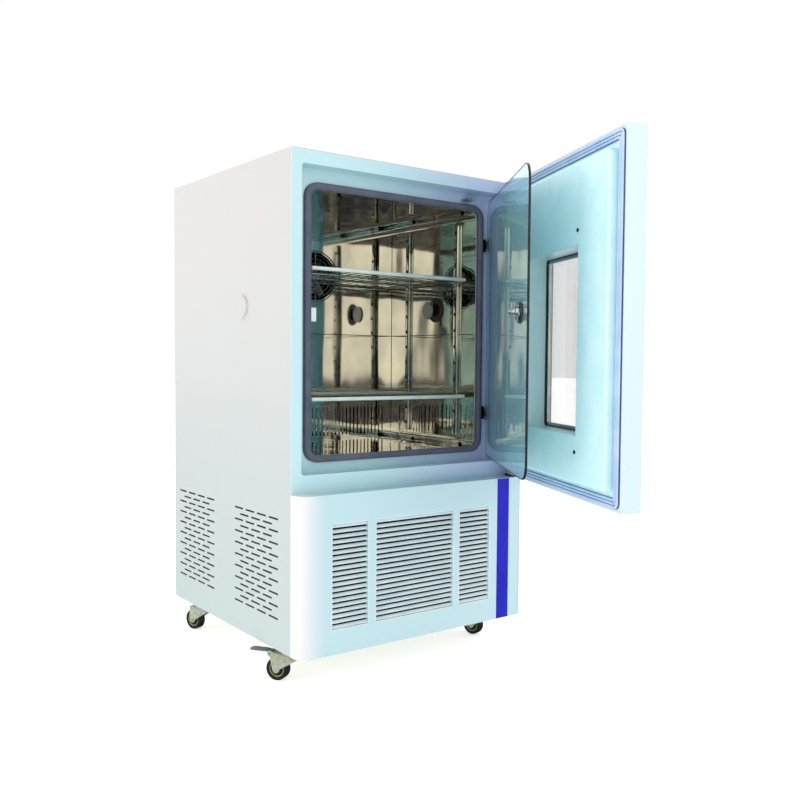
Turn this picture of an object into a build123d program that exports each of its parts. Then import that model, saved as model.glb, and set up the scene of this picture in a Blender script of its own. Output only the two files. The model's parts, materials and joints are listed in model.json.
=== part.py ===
from build123d import *
import os

os.makedirs("parts", exist_ok=True)

# Humidity incubator on casters, in millimetres. The origin is on the floor under the middle of the
# cabinet. The front faces -Y, and +X is to the right of a person who looks at the front.

# Clearances
loose = 0.3  # between pieces that only lie near each other
running = 0.05  # radial, between a shaft or pin and its bore
past = 1  # how far a cut runs past the face that it opens

# Cabinet
cabinet_width = 740
cabinet_depth = 750
cabinet_height = 1260
caster_height = 92
skin = 1.5  # sheet steel of the casing
left, right = -cabinet_width / 2, cabinet_width / 2
front, back = -cabinet_depth / 2, cabinet_depth / 2
base, top = caster_height, caster_height + cabinet_height

# Lower front panel, above which the recess, the chamber and the outer door begin
lower_height = 406
lower_depth = 50
lower_corner = 35
lower_sheet = 2
lower_top = base + lower_height

# Front frame and its recess, in which the glass door closes
recess_side = 29  # from the side of the cabinet
recess_top = 35  # from the top of the cabinet
recess_bottom = 46  # above the lower front panel
recess_depth = 50
recess_corner = 10
recess_x0, recess_x1 = left + recess_side, right - recess_side
recess_z0, recess_z1 = lower_top + recess_bottom, top - recess_top
recess_floor = front + recess_depth
drain_radius = 3.5
drain_from_left = 342

# Chamber
chamber_from_left = 81
chamber_from_right = 113
chamber_above_lower = 88
chamber_from_top = 86
chamber_corner = 23
liner_sheet = 1.2
liner_flange = 12
duct_depth = 60  # from the air duct panel to the back of the liner
rear_insulation = 52
rear_space = 266  # from the air duct panel to the back of the cabinet
chamber_x0, chamber_x1 = left + chamber_from_left, right - chamber_from_right
chamber_z0, chamber_z1 = lower_top + chamber_above_lower, top - chamber_from_top
chamber_width = chamber_x1 - chamber_x0
chamber_x = (chamber_x0 + chamber_x1) / 2
duct_y = back - rear_space
liner_back = duct_y + duct_depth
liner_outer_back = liner_back + liner_sheet
insulation_back = liner_outer_back + rear_insulation

# Chamber gasket
gasket_height = 12
gasket_side = 21
gasket_end = 16.5
gasket_corner = 38
gasket_edge = 2.5
gasket_y = recess_floor - gasket_height

# Air duct panel, circulation fan, coil and heater
panel_sheet = 1.5
panel_return = 12
grille_slot = 5
grille_pitch = 13.6
grille_height = 88
grille_from_bottom = 8
fan_from_top = 176
fan_from_left = 260
fan_opening = 73
fan_guard_radius = 79
fan_guard_rings = (79, 53, 27)
guard_wire = 3
fan_radius = 64
fan_hub = 18
fan_width = 20
fan_behind_panel = 8
blade_sheet = 2
blade_pitch = 35
shaft_radius = 4
shaft_hole = 8
motor_radius = 40
motor_length = 55
fan_x, fan_z = chamber_x0 + fan_from_left, chamber_z1 - fan_from_top
evaporator_side = 63  # from the walls of the chamber
evaporator_above_floor = 110
evaporator_below_heater = 40
evaporator_fins = 22
fin_sheet = 1
heater_side = 83  # from the walls of the chamber
heater_below_fan = 100
heater_rod = 4
heater_bend = 16

# Shelves and their uprights
upright_width = 20
upright_depth = 10
upright_sheet = 1.5
upright_end = 26  # from the floor and the ceiling of the chamber
upright_front = 136  # from the front of the cabinet
upright_rear = 100  # from the air duct panel
upright_slot = (9, 6)
upright_pitch = 48
hook_reach = 20
hook_sheet = 3
hook_height = 24
shelf_left_gap = 17
shelf_right_gap = 21
shelf_front_gap = 20  # behind the recess floor
shelf_rear_gap = 14
shelf_bar = 10
shelf_rail = 6
shelf_wire = 3
shelf_wires = 17
shelf_below_top = 191
shelf_above_floor = 149
shelf_heights = {"upper": chamber_z1 - shelf_below_top, "lower": chamber_z0 + shelf_above_floor}

# Cable port in the left wall and humidity inlet in the right wall
port_from_front = 275
port_above_floor = 386
port_radius = 27
port_wall = 2
port_flange = 36
port_flange_sheet = 1.5
plug_cap = 31
plug_cap_height = 2.5
inlet_from_front = 242
inlet_above_floor = 403
inlet_ring = 38
inlet_ring_height = 2
inlet_bore = 20
inlet_wall = 2
inlet_tube = 40
cover_radius = 27.5
cover_sheet = 1.6
cover_swing_height = 20
cover_shift = 39
cover_pin = 3
cover_ear = 7
probe_before_duct = 54
probe_below_top = 69
probe_radius = 6
probe_length = 70

# Vent fields in the side panels
vent_slot = (52, 5)
vent_field = 254
vent_front_margin = 67
vent_rear_margin = 39
vent_from_base = 80
vent_pitch = 16
vent_rows = 17
vent_columns = 4

# Louvred grilles in the lower front panel
grille_from_left = 88
grille_from_right = 134
grille_left_width = 110.5
grille_right_width = 112
grille_left_rib = 20.5
grille_right_rib = 18
grille_from_bottom_edge = 62
grille_from_top_edge = 74
slat_pitch = 13.5
slat_sheet = 2
slat_width = 13
slat_tilt = 40
grille_frame = 2
grille_frame_depth = 12

# Outer door, built closed and then swung open about its hinge
door_open_angle = 68.2
door_gap = 6
door_top_gap = 0.5  # under the upper hinge plate
door_back = 8  # clear of the front frame
door_thickness = 50
door_sheet = 1.5
door_corner = 6
door_lip = 12
door_hinge_side = 20
door_hinge_front = 28
hinge_pin = 5
hinge_pin_length = 11
bushing_wall = 4
bushing_length = 16
hinge_plate = 5
hinge_plate_width = 38
hinge_plate_reach = 46
hinge_plate_rear = 40
panel_margin_left = 36
panel_margin_right = 50
panel_margin_bottom = 43
panel_margin_top = 46
panel_raise = 25
panel_corner = 14
panel_edge = 6
seal_outer = 8
seal_width = 22
seal_hinge_gap = 22
seal_groove = 2
window_from_left = 192
window_from_right = 215
window_above_floor = 73  # of the chamber
window_below_top = 157  # of the chamber
window_border = 10
window_corner = 12
pane_sheet = 4
pane_spacer = 8.5
pane_lip = 8
pane_spacer_inset = 1
door_x0, door_x1 = left, right
hinge_seat = top - skin  # where the upper hinge plate lies, in a cut-out of the top panel
door_z0, door_z1 = lower_top + door_gap, hinge_seat - door_top_gap
door_y1 = front - door_back
door_y0 = door_y1 - door_thickness
door_hinge_x, door_hinge_y = right - door_hinge_side, front - door_hinge_front

# Handle and controls on the outer door
handle_from_left = 96
handle_width = 24
handle_length = 220
handle_from_bottom = 308
handle_proud = 28
handle_bar = 9
handle_post = 20
handle_corner = 8
control_from_left = 150
control_width = 410
control_from_top = 40
control_height = 140
control_proud = 8
control_corner = 10
display_from_left = 30
display_size = (180, 84)
display_recess = 2
key_radius = 8
key_pocket = 6
key_travel = 1.5
key_proud = 2
key_pitch = 34
key_from_left = 250
rocker_width = 20
rocker_height = 30
rocker_from_left = 368
rocker_proud = 3
rocker_pin = 1.5
rocker_trunnion = 3

# Glass door, built closed and then swung open about its hinge
glass_open_angle = 58.6
glass_hinge_from_right = 83
glass_sheet = 5
glass_from_hinge = 7
glass_from_left = 46
glass_below_chamber = 27
glass_above_chamber = 24
glass_corner = 45
glass_barrel = 5
glass_pin = 3
glass_barrel_length = 24
glass_ear = 6
glass_clip_reach = 42
glass_clip_sheet = 3
glass_clip_height = 44
glass_clip_below_top = 95
glass_clip_above_floor = 96
glass_bracket_sheet = 3
glass_bracket_width = 34
knob_from_edge = 74
knob_above_floor = 363
knob_radius = 22
knob_height = 11.5
knob_disc = 25
knob_disc_sheet = 3
knob_hub = 12
knob_hub_height = 10
knob_spindle = 5
knob_spindle_length = 29
cam_width = 12
cam_sheet = 3
cam_reach = 23
cam_tail = 8
strike_height = 35
strike_sheet = 2
strike_reach = 22
strike_depth = 30
glass_y1 = gasket_y - loose
glass_y0 = glass_y1 - glass_sheet
glass_y = (glass_y0 + glass_y1) / 2
glass_hinge_x, glass_hinge_y = right - glass_hinge_from_right, glass_y
glass_x0, glass_x1 = left + glass_from_left, glass_hinge_x - glass_from_hinge
glass_z0, glass_z1 = chamber_z0 - glass_below_chamber, chamber_z1 + glass_above_chamber
knob_x, knob_z = glass_x0 + knob_from_edge, chamber_z0 + knob_above_floor

# Door switch in the recess floor
switch_from_right = 156
switch_from_top = 58
switch_width = 30
switch_height = 5
switch_reach = 28
switch_inside = 20
switch_travel = 12
switch_edge = 1

# Casters
wheel_radius = 30
wheel_width = 22
axle_radius = 4
caster_trail = 34
fork_sheet = 2.5
fork_gap = 1.2
fork_leg_end = 10
crown_length = 52
crown_top = 71
crown_sheet = 4
plate_size = 62
plate_sheet = 4
race_radius = 22
kingpin_radius = 6
kingpin_head = 9
kingpin_head_height = 3
pedal_pivot = (52, 70)
pedal_pin = 3
pedal_ear = 7
pedal_barrel = 5.5
pedal_length = 62
pedal_width = 26
pedal_sheet = 3
pedal_clear = 1
caster_side = 44
caster_front = 84
caster_rear = 110
caster_turn_angle = {"front_left": 33, "rear_left": 20, "front_right": 15, "rear_right": 20}

# Machine compartment
base_sheet = 2
base_flange = 20
compressor_from_left = 230
compressor_from_back = 190
compressor_radius = 70
compressor_height = 170
compressor_foot = (190, 120, 4)
condenser_behind = 40
condenser_depth = 30
condenser_fins = 18
condenser_fan_radius = 85
condenser_motor = 32
shroud_sheet = 2
shroud_size = 230
tank_size = (170, 150, 240)
tank_from_right = 140
tank_from_back = 210
tank_corner = 15
boiler_from_right = 140
boiler_from_front = 260
boiler_radius = 55
boiler_height = 170
rear_slot = (120, 8)
rear_slot_pitch = (150, 20)
rear_slots = (4, 6)
rear_slot_from_base = 200
inlet_socket = (50, 30, 14)
drain_spout = (8, 26)
spout_wall = 2


def block(x0, x1, y0, y1, z0, z1):
    """A box between two corners."""
    return Pos((x0 + x1) / 2, (y0 + y1) / 2, (z0 + z1) / 2) * Box(x1 - x0, y1 - y0, z1 - z0)


def rounded(x0, x1, y0, y1, z0, z1, radius, axis=Axis.Y):
    """A box with its edges along one axis rounded."""
    body = block(x0, x1, y0, y1, z0, z1)
    return fillet(body.edges().filter_by(axis), radius)


def rod_x(radius, x0, x1, y, z):
    """A round bar along X."""
    return Pos((x0 + x1) / 2, y, z) * Rot(0, 90, 0) * Cylinder(radius, x1 - x0)


def rod_y(radius, y0, y1, x, z):
    """A round bar along Y."""
    return Pos(x, (y0 + y1) / 2, z) * Rot(90, 0, 0) * Cylinder(radius, y1 - y0)


def rod_z(radius, z0, z1, x, y):
    """A round bar along Z."""
    return Pos(x, y, (z0 + z1) / 2) * Cylinder(radius, z1 - z0)


def save(name, *pieces):
    """Write one sub-part, of one solid or of several separate ones."""
    solids = [solid for piece in pieces for solid in piece.solids()]
    shape = solids[0] if len(solids) == 1 else Compound(children=solids)
    export_step(shape, "parts/" + name + ".step")


def swung(piece, x, y, angle):
    """The piece turned about an upright hinge."""
    return Pos(x, y, 0) * Rot(0, 0, angle) * Pos(-x, -y, 0) * piece


def opened(piece):
    """A piece of the outer door, at the open rest position."""
    return swung(piece, door_hinge_x, door_hinge_y, door_open_angle)


def glass_opened(piece):
    """A piece of the glass door, at the open rest position."""
    return swung(piece, glass_hinge_x, glass_hinge_y, glass_open_angle)


def vent_cuts(x0, x1, starts):
    """Slots in a side panel: rows of long slots, every other row shifted by half a pitch."""
    length, height = vent_slot
    pitch = (vent_field - length) / (vent_columns - 1)
    cuts = []
    for start in starts:
        for row in range(vent_rows):
            z = base + vent_from_base + row * vent_pitch
            shifted = row % 2
            for column in range(vent_columns - shifted):
                y = front + start + (column + shifted / 2) * pitch
                cuts.append(block(x0 - past, x1 + past, y, y + length, z - height / 2, z + height / 2))
    return cuts


def side_panel(x0, x1, starts):
    """One sheet of the casing, with its vent fields."""
    sheet = block(x0, x1, front + skin, back, base, top - skin)
    return sheet - vent_cuts(x0, x1, starts)


def coil(x0, x1, y0, y1, z0, z1, fins, back_y):
    """A finned coil: a core with upright fins in front, and two end plates that reach back to back_y."""
    pieces = [block(x0, x1, (y0 + y1) / 2, y1, z0, z1)]
    for index in range(fins):
        x = x0 + (x1 - x0 - fin_sheet) * index / (fins - 1)
        last = back_y if index in (0, fins - 1) else y1
        pieces.append(block(x, x + fin_sheet, y0, last, z0, z1))
    return pieces[0] + pieces[1:]


def axial_fan(x, z, y0, width, radius, hub, blades, shaft_end):
    """A fan that turns about Y: hub, pitched blades and shaft, from y0 towards the back."""
    middle = y0 + width / 2
    fan = rod_y(hub, y0, y0 + width, x, z) + rod_y(shaft_radius, y0, shaft_end, x, z)
    reach = radius - hub + blade_sheet
    blade = Rot(blade_pitch, 0, 0) * Box(reach, blade_sheet, width)
    blade = Pos(hub + reach / 2 - blade_sheet, 0, 0) * blade
    return fan + [Pos(x, middle, z) * Rot(0, 360 * n / blades, 0) * blade for n in range(blades)]


# Casing
port_y, port_z = front + port_from_front, chamber_z0 + port_above_floor
vent_rear_start = cabinet_depth - vent_rear_margin - vent_field
save("left_side_panel", side_panel(left, left + skin, (vent_front_margin, vent_rear_start))
     - rod_x(port_radius + loose, left - past, left + skin + past, port_y, port_z))
save("right_side_panel", side_panel(right - skin, right, (vent_rear_start,)))
top_panel = block(left, right, front, back, top - skin, top)
top_panel -= block(right - hinge_plate_width - 2 * loose, right + past, front - past,
                   front + hinge_plate_rear + loose,
                   top - 2 * skin, top + past)
save("top_panel", top_panel)

frame = block(left, right, front, front + skin, lower_top, top - skin)
frame += rounded(recess_x0 - skin, recess_x1 + skin, front, recess_floor + skin,
                 recess_z0 - skin, recess_z1 + skin, recess_corner + skin)
frame -= rounded(recess_x0, recess_x1, front - past, recess_floor, recess_z0, recess_z1, recess_corner)
frame -= rounded(chamber_x0, chamber_x1, front, recess_floor + 2 * skin, chamber_z0, chamber_z1,
                 chamber_corner)
switch_x, switch_z = right - switch_from_right, top - switch_from_top
frame -= block(switch_x - switch_width / 2 - loose, switch_x + switch_width / 2 + loose,
               recess_floor - past, recess_floor + 2 * skin,
               switch_z - switch_height / 2 - loose, switch_z + switch_height / 2 + loose)
frame -= rod_z(drain_radius, recess_z0 - 2 * skin, recess_z0 + past, left + drain_from_left,
               front + recess_depth / 2)
save("front_frame", frame)

panel = block(left + skin, right - skin, back - skin, back, base + base_sheet, top - skin)
slot_length, slot_height = rear_slot
for row in range(rear_slots[1]):
    for column in range(rear_slots[0]):
        x = (column - (rear_slots[0] - 1) / 2) * rear_slot_pitch[0]
        z = base + rear_slot_from_base + row * rear_slot_pitch[1]
        panel -= block(x - slot_length / 2, x + slot_length / 2, back - 2 * skin, back + past,
                       z - slot_height / 2, z + slot_height / 2)
save("back_panel", panel)

pan = block(left + skin, right - skin, front + skin, back, base, base + base_sheet + base_flange)
floor_z = base + base_sheet
pan -= block(left + skin + base_sheet, right - skin - base_sheet, front + skin + base_sheet,
             back - skin - base_sheet, floor_z, floor_z + base_flange + past)
pan -= block(left, right, back - skin, back + past, floor_z, floor_z + base_flange + past)
save("base_pan", pan)

# Chamber liner, insulation and gasket
liner_y0 = recess_floor + skin
liner = rounded(chamber_x0 - liner_sheet, chamber_x1 + liner_sheet, liner_y0, liner_outer_back,
                chamber_z0 - liner_sheet, chamber_z1 + liner_sheet, chamber_corner + liner_sheet)
flange = liner_flange + liner_sheet
liner += rounded(chamber_x0 - flange, chamber_x1 + flange, liner_y0, liner_y0 + liner_sheet,
                 chamber_z0 - flange, chamber_z1 + flange, chamber_corner + flange)
liner -= rounded(chamber_x0, chamber_x1, liner_y0 - past, liner_back, chamber_z0, chamber_z1, chamber_corner)
inlet_y, inlet_z = front + inlet_from_front, chamber_z0 + inlet_above_floor
port_hole = rod_x(port_radius + loose, left - past, chamber_x0 + past, port_y, port_z)
inlet_hole = rod_x(inlet_bore + inlet_wall + loose, chamber_x1 - past, chamber_x1 + inlet_tube + loose,
                   inlet_y, inlet_z)
shaft_way = rod_y(shaft_hole, liner_back - past, insulation_back + past, fan_x, fan_z)
liner -= [port_hole, inlet_hole, shaft_way]
save("chamber_liner", liner)

foam_z0 = lower_top - door_gap
gap = liner_sheet + loose
foam = block(left + skin, right - skin, liner_y0 + liner_sheet, insulation_back, foam_z0, top - skin)
foam -= rounded(chamber_x0 - gap, chamber_x1 + gap, liner_y0, liner_outer_back,
                chamber_z0 - gap, chamber_z1 + gap, chamber_corner + gap)
foam -= [port_hole, inlet_hole, shaft_way]
foam -= block(switch_x - switch_width, switch_x + switch_width, liner_y0,
              recess_floor + switch_inside + 2 * switch_travel,
              switch_z - switch_height, switch_z + switch_height)
save("insulation", foam)

seal = rounded(chamber_x0 - gasket_side, chamber_x1 + gasket_side, gasket_y, recess_floor,
               chamber_z0 - gasket_end, chamber_z1 + gasket_end, gasket_corner)
seal -= rounded(chamber_x0, chamber_x1, gasket_y - past, recess_floor + past, chamber_z0, chamber_z1,
                chamber_corner)
seal = chamfer(seal.faces().sort_by(Axis.Y)[0].edges(), gasket_edge)
save("chamber_gasket", seal)

# Air duct panel with its return grille and fan opening
duct = rounded(chamber_x0 + loose, chamber_x1 - loose, duct_y, duct_y + panel_return,
               chamber_z0 + loose, chamber_z1 - loose, chamber_corner)
duct_wall = loose + panel_sheet
duct -= rounded(chamber_x0 + duct_wall, chamber_x1 - duct_wall, duct_y + panel_sheet,
                duct_y + panel_return + past,
                chamber_z0 + duct_wall, chamber_z1 - duct_wall, chamber_corner - panel_sheet)
slots = int((chamber_width - 2 * chamber_corner) / grille_pitch)
slot_z = chamber_z0 + grille_from_bottom
for n in range(slots):
    x = chamber_x + (n - (slots - 1) / 2) * grille_pitch
    duct -= block(x - grille_slot / 2, x + grille_slot / 2, duct_y - past, duct_y + 2 * panel_sheet,
                  slot_z, slot_z + grille_height)
duct -= rod_y(fan_opening, duct_y - past, duct_y + 2 * panel_sheet, fan_x, fan_z)
save("air_duct_panel", duct)

guard = []
for radius in fan_guard_rings:
    guard.append(rod_y(radius, duct_y - guard_wire, duct_y, fan_x, fan_z)
                 - rod_y(radius - guard_wire, duct_y - guard_wire - past, duct_y + past, fan_x, fan_z))
spoke = block(-fan_guard_radius + guard_wire / 2, fan_guard_radius - guard_wire / 2,
              duct_y - 2 * guard_wire / 3, duct_y, -guard_wire / 2, guard_wire / 2)
guard += [Pos(fan_x, 0, fan_z) * Rot(0, angle, 0) * spoke for angle in (0, 60, 120)]
save("fan_guard", guard[0] + guard[1:])

fan_y = duct_y + fan_behind_panel
save("circulation_fan", axial_fan(fan_x, fan_z, fan_y, fan_width, fan_radius, fan_hub, 6,
                                  insulation_back + motor_length / 2))
motor = rod_y(motor_radius, insulation_back, insulation_back + motor_length, fan_x, fan_z)
motor -= rod_y(shaft_radius + running, insulation_back - past, insulation_back + motor_length / 2 + past,
               fan_x, fan_z)
save("fan_motor", motor)

heater_z = fan_z - heater_below_fan
save("evaporator", coil(chamber_x0 + evaporator_side, chamber_x1 - evaporator_side,
                        duct_y + panel_return, liner_back - panel_return, chamber_z0 + evaporator_above_floor,
                        heater_z - evaporator_below_heater, evaporator_fins, liner_back))

heater_y = (duct_y + liner_back) / 2
heater_x0, heater_x1 = chamber_x0 + heater_side, chamber_x1 - heater_side
heater = rod_x(heater_rod, heater_x0, heater_x1, heater_y, heater_z - heater_bend)
heater += rod_x(heater_rod, heater_x0, heater_x1, heater_y, heater_z + heater_bend)
heater += rod_z(heater_rod, heater_z - heater_bend, heater_z + heater_bend, heater_x1 - heater_rod, heater_y)
for x in (heater_x0 + heater_bend, heater_x1 - heater_bend):
    heater += block(x - hook_sheet, x + hook_sheet, heater_y, liner_back,
                    heater_z - heater_bend - heater_rod / 2, heater_z + heater_bend + heater_rod / 2)
save("heater", heater)

# Shelf uprights, one pair on each side wall, with a hook for each shelf
upright_z0, upright_z1 = chamber_z0 + upright_end, chamber_z1 - upright_end
uprights = []
for side in (1, -1):
    wall = chamber_x0 if side > 0 else chamber_x1
    for y in (front + upright_front, duct_y - upright_rear):
        web = sorted((wall, wall + side * upright_depth))
        channel = block(*web, y - upright_width / 2, y + upright_width / 2, upright_z0, upright_z1)
        hollow = sorted((wall - side * past, wall + side * (upright_depth - upright_sheet)))
        channel -= block(*hollow, y - upright_width / 2 + upright_sheet,
                         y + upright_width / 2 - upright_sheet,
                         upright_z0 - past, upright_z1 + past)
        wide, high = upright_slot
        cuts = sorted((wall + side * (upright_depth - 2 * upright_sheet),
                       wall + side * (upright_depth + past)))
        for n in range(int((upright_z1 - upright_z0) / upright_pitch)):
            z = upright_z0 + (n + 0.5) * upright_pitch
            channel -= block(*cuts, y - wide / 2, y + wide / 2, z - high / 2, z + high / 2)
        uprights.append(channel)
        for height in shelf_heights.values():
            z = height - shelf_bar
            face = wall + side * upright_depth
            arm = sorted((face, face + side * hook_reach))
            leg = sorted((face, face + side * hook_sheet))
            hook = block(*arm, y - wide / 2, y + wide / 2, z - hook_sheet, z)
            hook += block(*leg, y - wide / 2, y + wide / 2, z - hook_height, z)
            uprights.append(hook)
save("shelf_uprights", *uprights)


def shelf(height):
    """A wire shelf: a deep front bar, side and rear rails, two cross bars and wires from front to back."""
    x0, x1 = chamber_x0 + shelf_left_gap, chamber_x1 - shelf_right_gap
    y0, y1 = recess_floor + shelf_front_gap, duct_y - shelf_rear_gap
    z0 = height - shelf_bar
    wire_z0 = z0 + shelf_rail
    pieces = [rounded(x0, x1, y0, y0 + shelf_bar, z0, z0 + shelf_bar, shelf_bar / 3, Axis.X)]
    for x in (x0, x1 - shelf_rail):
        pieces.append(block(x, x + shelf_rail, y0 + shelf_bar / 2, y1, z0, wire_z0))
    for y in ((2 * y0 + y1) / 3, (y0 + 2 * y1) / 3, y1 - shelf_rail):
        pieces.append(block(x0, x1, y, y + shelf_rail, z0, wire_z0))
    for n in range(shelf_wires):
        x = x0 + (x1 - x0 - shelf_wire) * n / (shelf_wires - 1)
        pieces.append(block(x, x + shelf_wire, y0 + shelf_bar / 2, y1, wire_z0, wire_z0 + shelf_wire))
    return pieces[0] + pieces[1:]


for level, height in shelf_heights.items():
    save("shelf_" + level, shelf(height))

# Cable port through the left wall, with a silicone plug
sleeve = rod_x(port_radius, left, chamber_x0, port_y, port_z)
sleeve += rod_x(port_flange, left - port_flange_sheet, left, port_y, port_z)
sleeve -= rod_x(port_radius - port_wall, left - port_flange_sheet - past, chamber_x0 + past, port_y, port_z)
save("port_sleeve", sleeve)
plug = rod_x(port_radius - port_wall - running, left - port_flange_sheet, chamber_x0, port_y, port_z)
plug += rod_x(plug_cap, left - port_flange_sheet - plug_cap_height, left - port_flange_sheet, port_y, port_z)
save("port_plug", plug)

# Humidity inlet in the right wall, with a swing cover that stands aside
ring_x = chamber_x1 - inlet_ring_height
inlet = rod_x(inlet_ring, ring_x, chamber_x1, inlet_y, inlet_z)
inlet += rod_x(inlet_bore + inlet_wall, chamber_x1, chamber_x1 + inlet_tube, inlet_y, inlet_z)
inlet -= rod_x(inlet_bore, ring_x - past, chamber_x1 + inlet_tube + past, inlet_y, inlet_z)
swing_y, swing_z = inlet_y + cover_shift / 2, inlet_z + cover_swing_height
cover_x1 = ring_x - loose
cover_x0 = cover_x1 - cover_sheet
inlet += rod_x(cover_pin, cover_x0 - cover_sheet, ring_x, swing_y, swing_z)
save("humidity_inlet", inlet)
cover = rod_x(cover_radius, cover_x0, cover_x1, inlet_y + cover_shift, inlet_z)
cover += rod_x(cover_ear, cover_x0, cover_x1, swing_y, swing_z)
cover -= rod_x(cover_pin + running, cover_x0 - past, cover_x1 + past, swing_y, swing_z)
save("inlet_cover", cover)

probe_y, probe_z = duct_y - probe_before_duct, chamber_z1 - probe_below_top
probe = rod_x(probe_radius, chamber_x0, chamber_x0 + 3 * probe_radius, probe_y, probe_z)
probe += rod_z(probe_radius, probe_z - probe_length, probe_z + probe_radius, chamber_x0 + 3 * probe_radius,
               probe_y)
save("humidity_probe", probe)

# Strike for the latch of the glass door, on the left wall of the chamber
cam_y0 = glass_y1 + knob_spindle_length - cam_sheet
strike = block(chamber_x0, chamber_x0 + strike_sheet, cam_y0 - strike_depth / 2, cam_y0 + strike_depth / 2,
               knob_z - strike_height / 2, knob_z + strike_height / 2)
strike += block(chamber_x0, chamber_x0 + strike_reach, cam_y0 - cam_sheet - strike_sheet, cam_y0 - cam_sheet,
                knob_z - strike_height / 2, knob_z + strike_height / 2)
save("latch_strike", strike)

# Lower front panel with three louvred grilles
lower_y0, lower_y1 = front - lower_depth, front + skin
lower = block(left, right, lower_y0, lower_y1, base, lower_top)
lower_edges = lower.edges().filter_by(Axis.Z).group_by(Axis.Y)[0]
lower = fillet(lower_edges, lower_corner)
lower_inside = block(left + lower_sheet, right - lower_sheet, lower_y0 + lower_sheet, lower_y1 + past,
                     base + lower_sheet, lower_top - lower_sheet)
inside_edges = lower_inside.edges().filter_by(Axis.Z).group_by(Axis.Y)[0]
lower -= fillet(inside_edges, lower_corner - lower_sheet)
grille_x0 = left + grille_from_left
grille_x1 = grille_x0 + grille_left_width + grille_left_rib
grille_x2 = right - grille_from_right - grille_right_width
grille_windows = ((grille_x0, grille_x0 + grille_left_width), (grille_x1, grille_x2 - grille_right_rib),
                  (grille_x2, grille_x2 + grille_right_width))
grille_z0, grille_z1 = base + grille_from_bottom_edge, lower_top - grille_from_top_edge
slats = int((grille_z1 - grille_z0) / slat_pitch)
grilles = []
for x0, x1 in grille_windows:
    z0, z1 = grille_z0, grille_z1
    lower -= block(x0, x1, lower_y0 - past, lower_y0 + lower_sheet + past, z0, z1)
    louvre = block(x0, x1, lower_y0, lower_y0 + grille_frame_depth, z0, z1)
    louvre -= block(x0 + grille_frame, x1 - grille_frame, lower_y0 - past,
                    lower_y0 + grille_frame_depth + past,
                    z0 + grille_frame, z1 - grille_frame)
    slat = Rot(slat_tilt, 0, 0) * Box(x1 - x0 - grille_frame, slat_width, slat_sheet)
    for n in range(slats):
        z = z0 + (n + 0.5) * (z1 - z0) / slats
        louvre += Pos((x0 + x1) / 2, lower_y0 + grille_frame_depth / 2, z) * slat
    grilles.append(louvre)
save("lower_front_panel", lower)
save("louvre_grilles", *grilles)

# Outer door
door = rounded(door_x0, door_x1, door_y0, door_y1, door_z0, door_z1, door_corner, Axis.Z)
void = rounded(door_x0 + door_sheet, door_x1 - door_sheet, door_y0 + door_sheet, door_y1 - door_sheet,
               door_z0 + door_sheet, door_z1 - door_sheet, door_corner - door_sheet, Axis.Z)
door_opening = block(door_x0 + door_lip, door_x1 - door_lip, door_y1 - 2 * door_sheet, door_y1 + past,
                     door_z0 + door_lip, door_z1 - door_lip)
window_x0, window_x1 = left + window_from_left, right - window_from_right
window_z0, window_z1 = chamber_z0 + window_above_floor, chamber_z1 - window_below_top
bushing_radius = hinge_pin + running + bushing_wall
bushing_spans = ((door_z0, door_z0 + bushing_length), (door_z1 - bushing_length, door_z1))
shell = door - void - door_opening
shell += [rod_z(bushing_radius, z0, z1, door_hinge_x, door_hinge_y) for z0, z1 in bushing_spans]
shell -= [rod_z(hinge_pin + running, z0 - past, z1 + past, door_hinge_x, door_hinge_y) for z0,
          z1 in bushing_spans]
shell -= rounded(window_x0 + pane_lip, window_x1 - pane_lip, door_y0 - past, door_y0 + 2 * door_sheet,
                 window_z0 + pane_lip, window_z1 - pane_lip, window_corner)
save("door_shell", opened(shell))

core = rounded(door_x0 + door_sheet + loose, door_x1 - door_sheet - loose, door_y0 + door_sheet,
               door_y1 - door_sheet, door_z0 + door_sheet, door_z1 - door_sheet, door_corner - door_sheet, Axis.Z)
pane_y0 = door_y0 + door_sheet
pane_y1 = pane_y0 + 2 * pane_sheet + pane_spacer
core -= block(window_x0 - window_border, window_x1 + window_border, pane_y0 - past, pane_y1,
              window_z0 - window_border, window_z1 + window_border)
core -= block(window_x0, window_x1, pane_y0, door_y1 + past, window_z0, window_z1)
core -= [rod_z(bushing_radius + loose, z0 - past, z1 + past, door_hinge_x, door_hinge_y) for z0,
         z1 in bushing_spans]
save("door_core", opened(core))

inner_x0, inner_x1 = door_x0 + panel_margin_left, door_x1 - panel_margin_right
inner_z0, inner_z1 = door_z0 + panel_margin_bottom, door_z1 - panel_margin_top
inner = rounded(inner_x0, inner_x1, door_y1, door_y1 + panel_raise, inner_z0, inner_z1, panel_corner)
inner = fillet(inner.faces().sort_by(Axis.Y)[-1].edges(), panel_edge)
inner += block(door_x0 + door_lip, door_x1 - door_lip, door_y1 - door_sheet, door_y1,
               door_z0 + door_lip, door_z1 - door_lip)
inner -= block(window_x0, window_x1, door_y1 - 2 * door_sheet, door_y1 + panel_raise + past, window_z0,
               window_z1)
save("door_inner_panel", opened(inner))

seal_x0, seal_x1 = door_x0 + seal_outer, door_x1 - seal_hinge_gap
seal_z0, seal_z1 = door_z0 + seal_outer, door_z1 - seal_outer
seal_y1 = front - loose


def seal_ring(outset, inset, y0, y1):
    """A flat rectangular ring, from outset to inset inside the outline of the door seal."""
    ring = block(seal_x0 + outset, seal_x1 - outset, y0, y1, seal_z0 + outset, seal_z1 - outset)
    return ring - block(seal_x0 + inset, seal_x1 - inset, y0 - past, y1 + past, seal_z0 + inset,
                        seal_z1 - inset)


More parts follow.
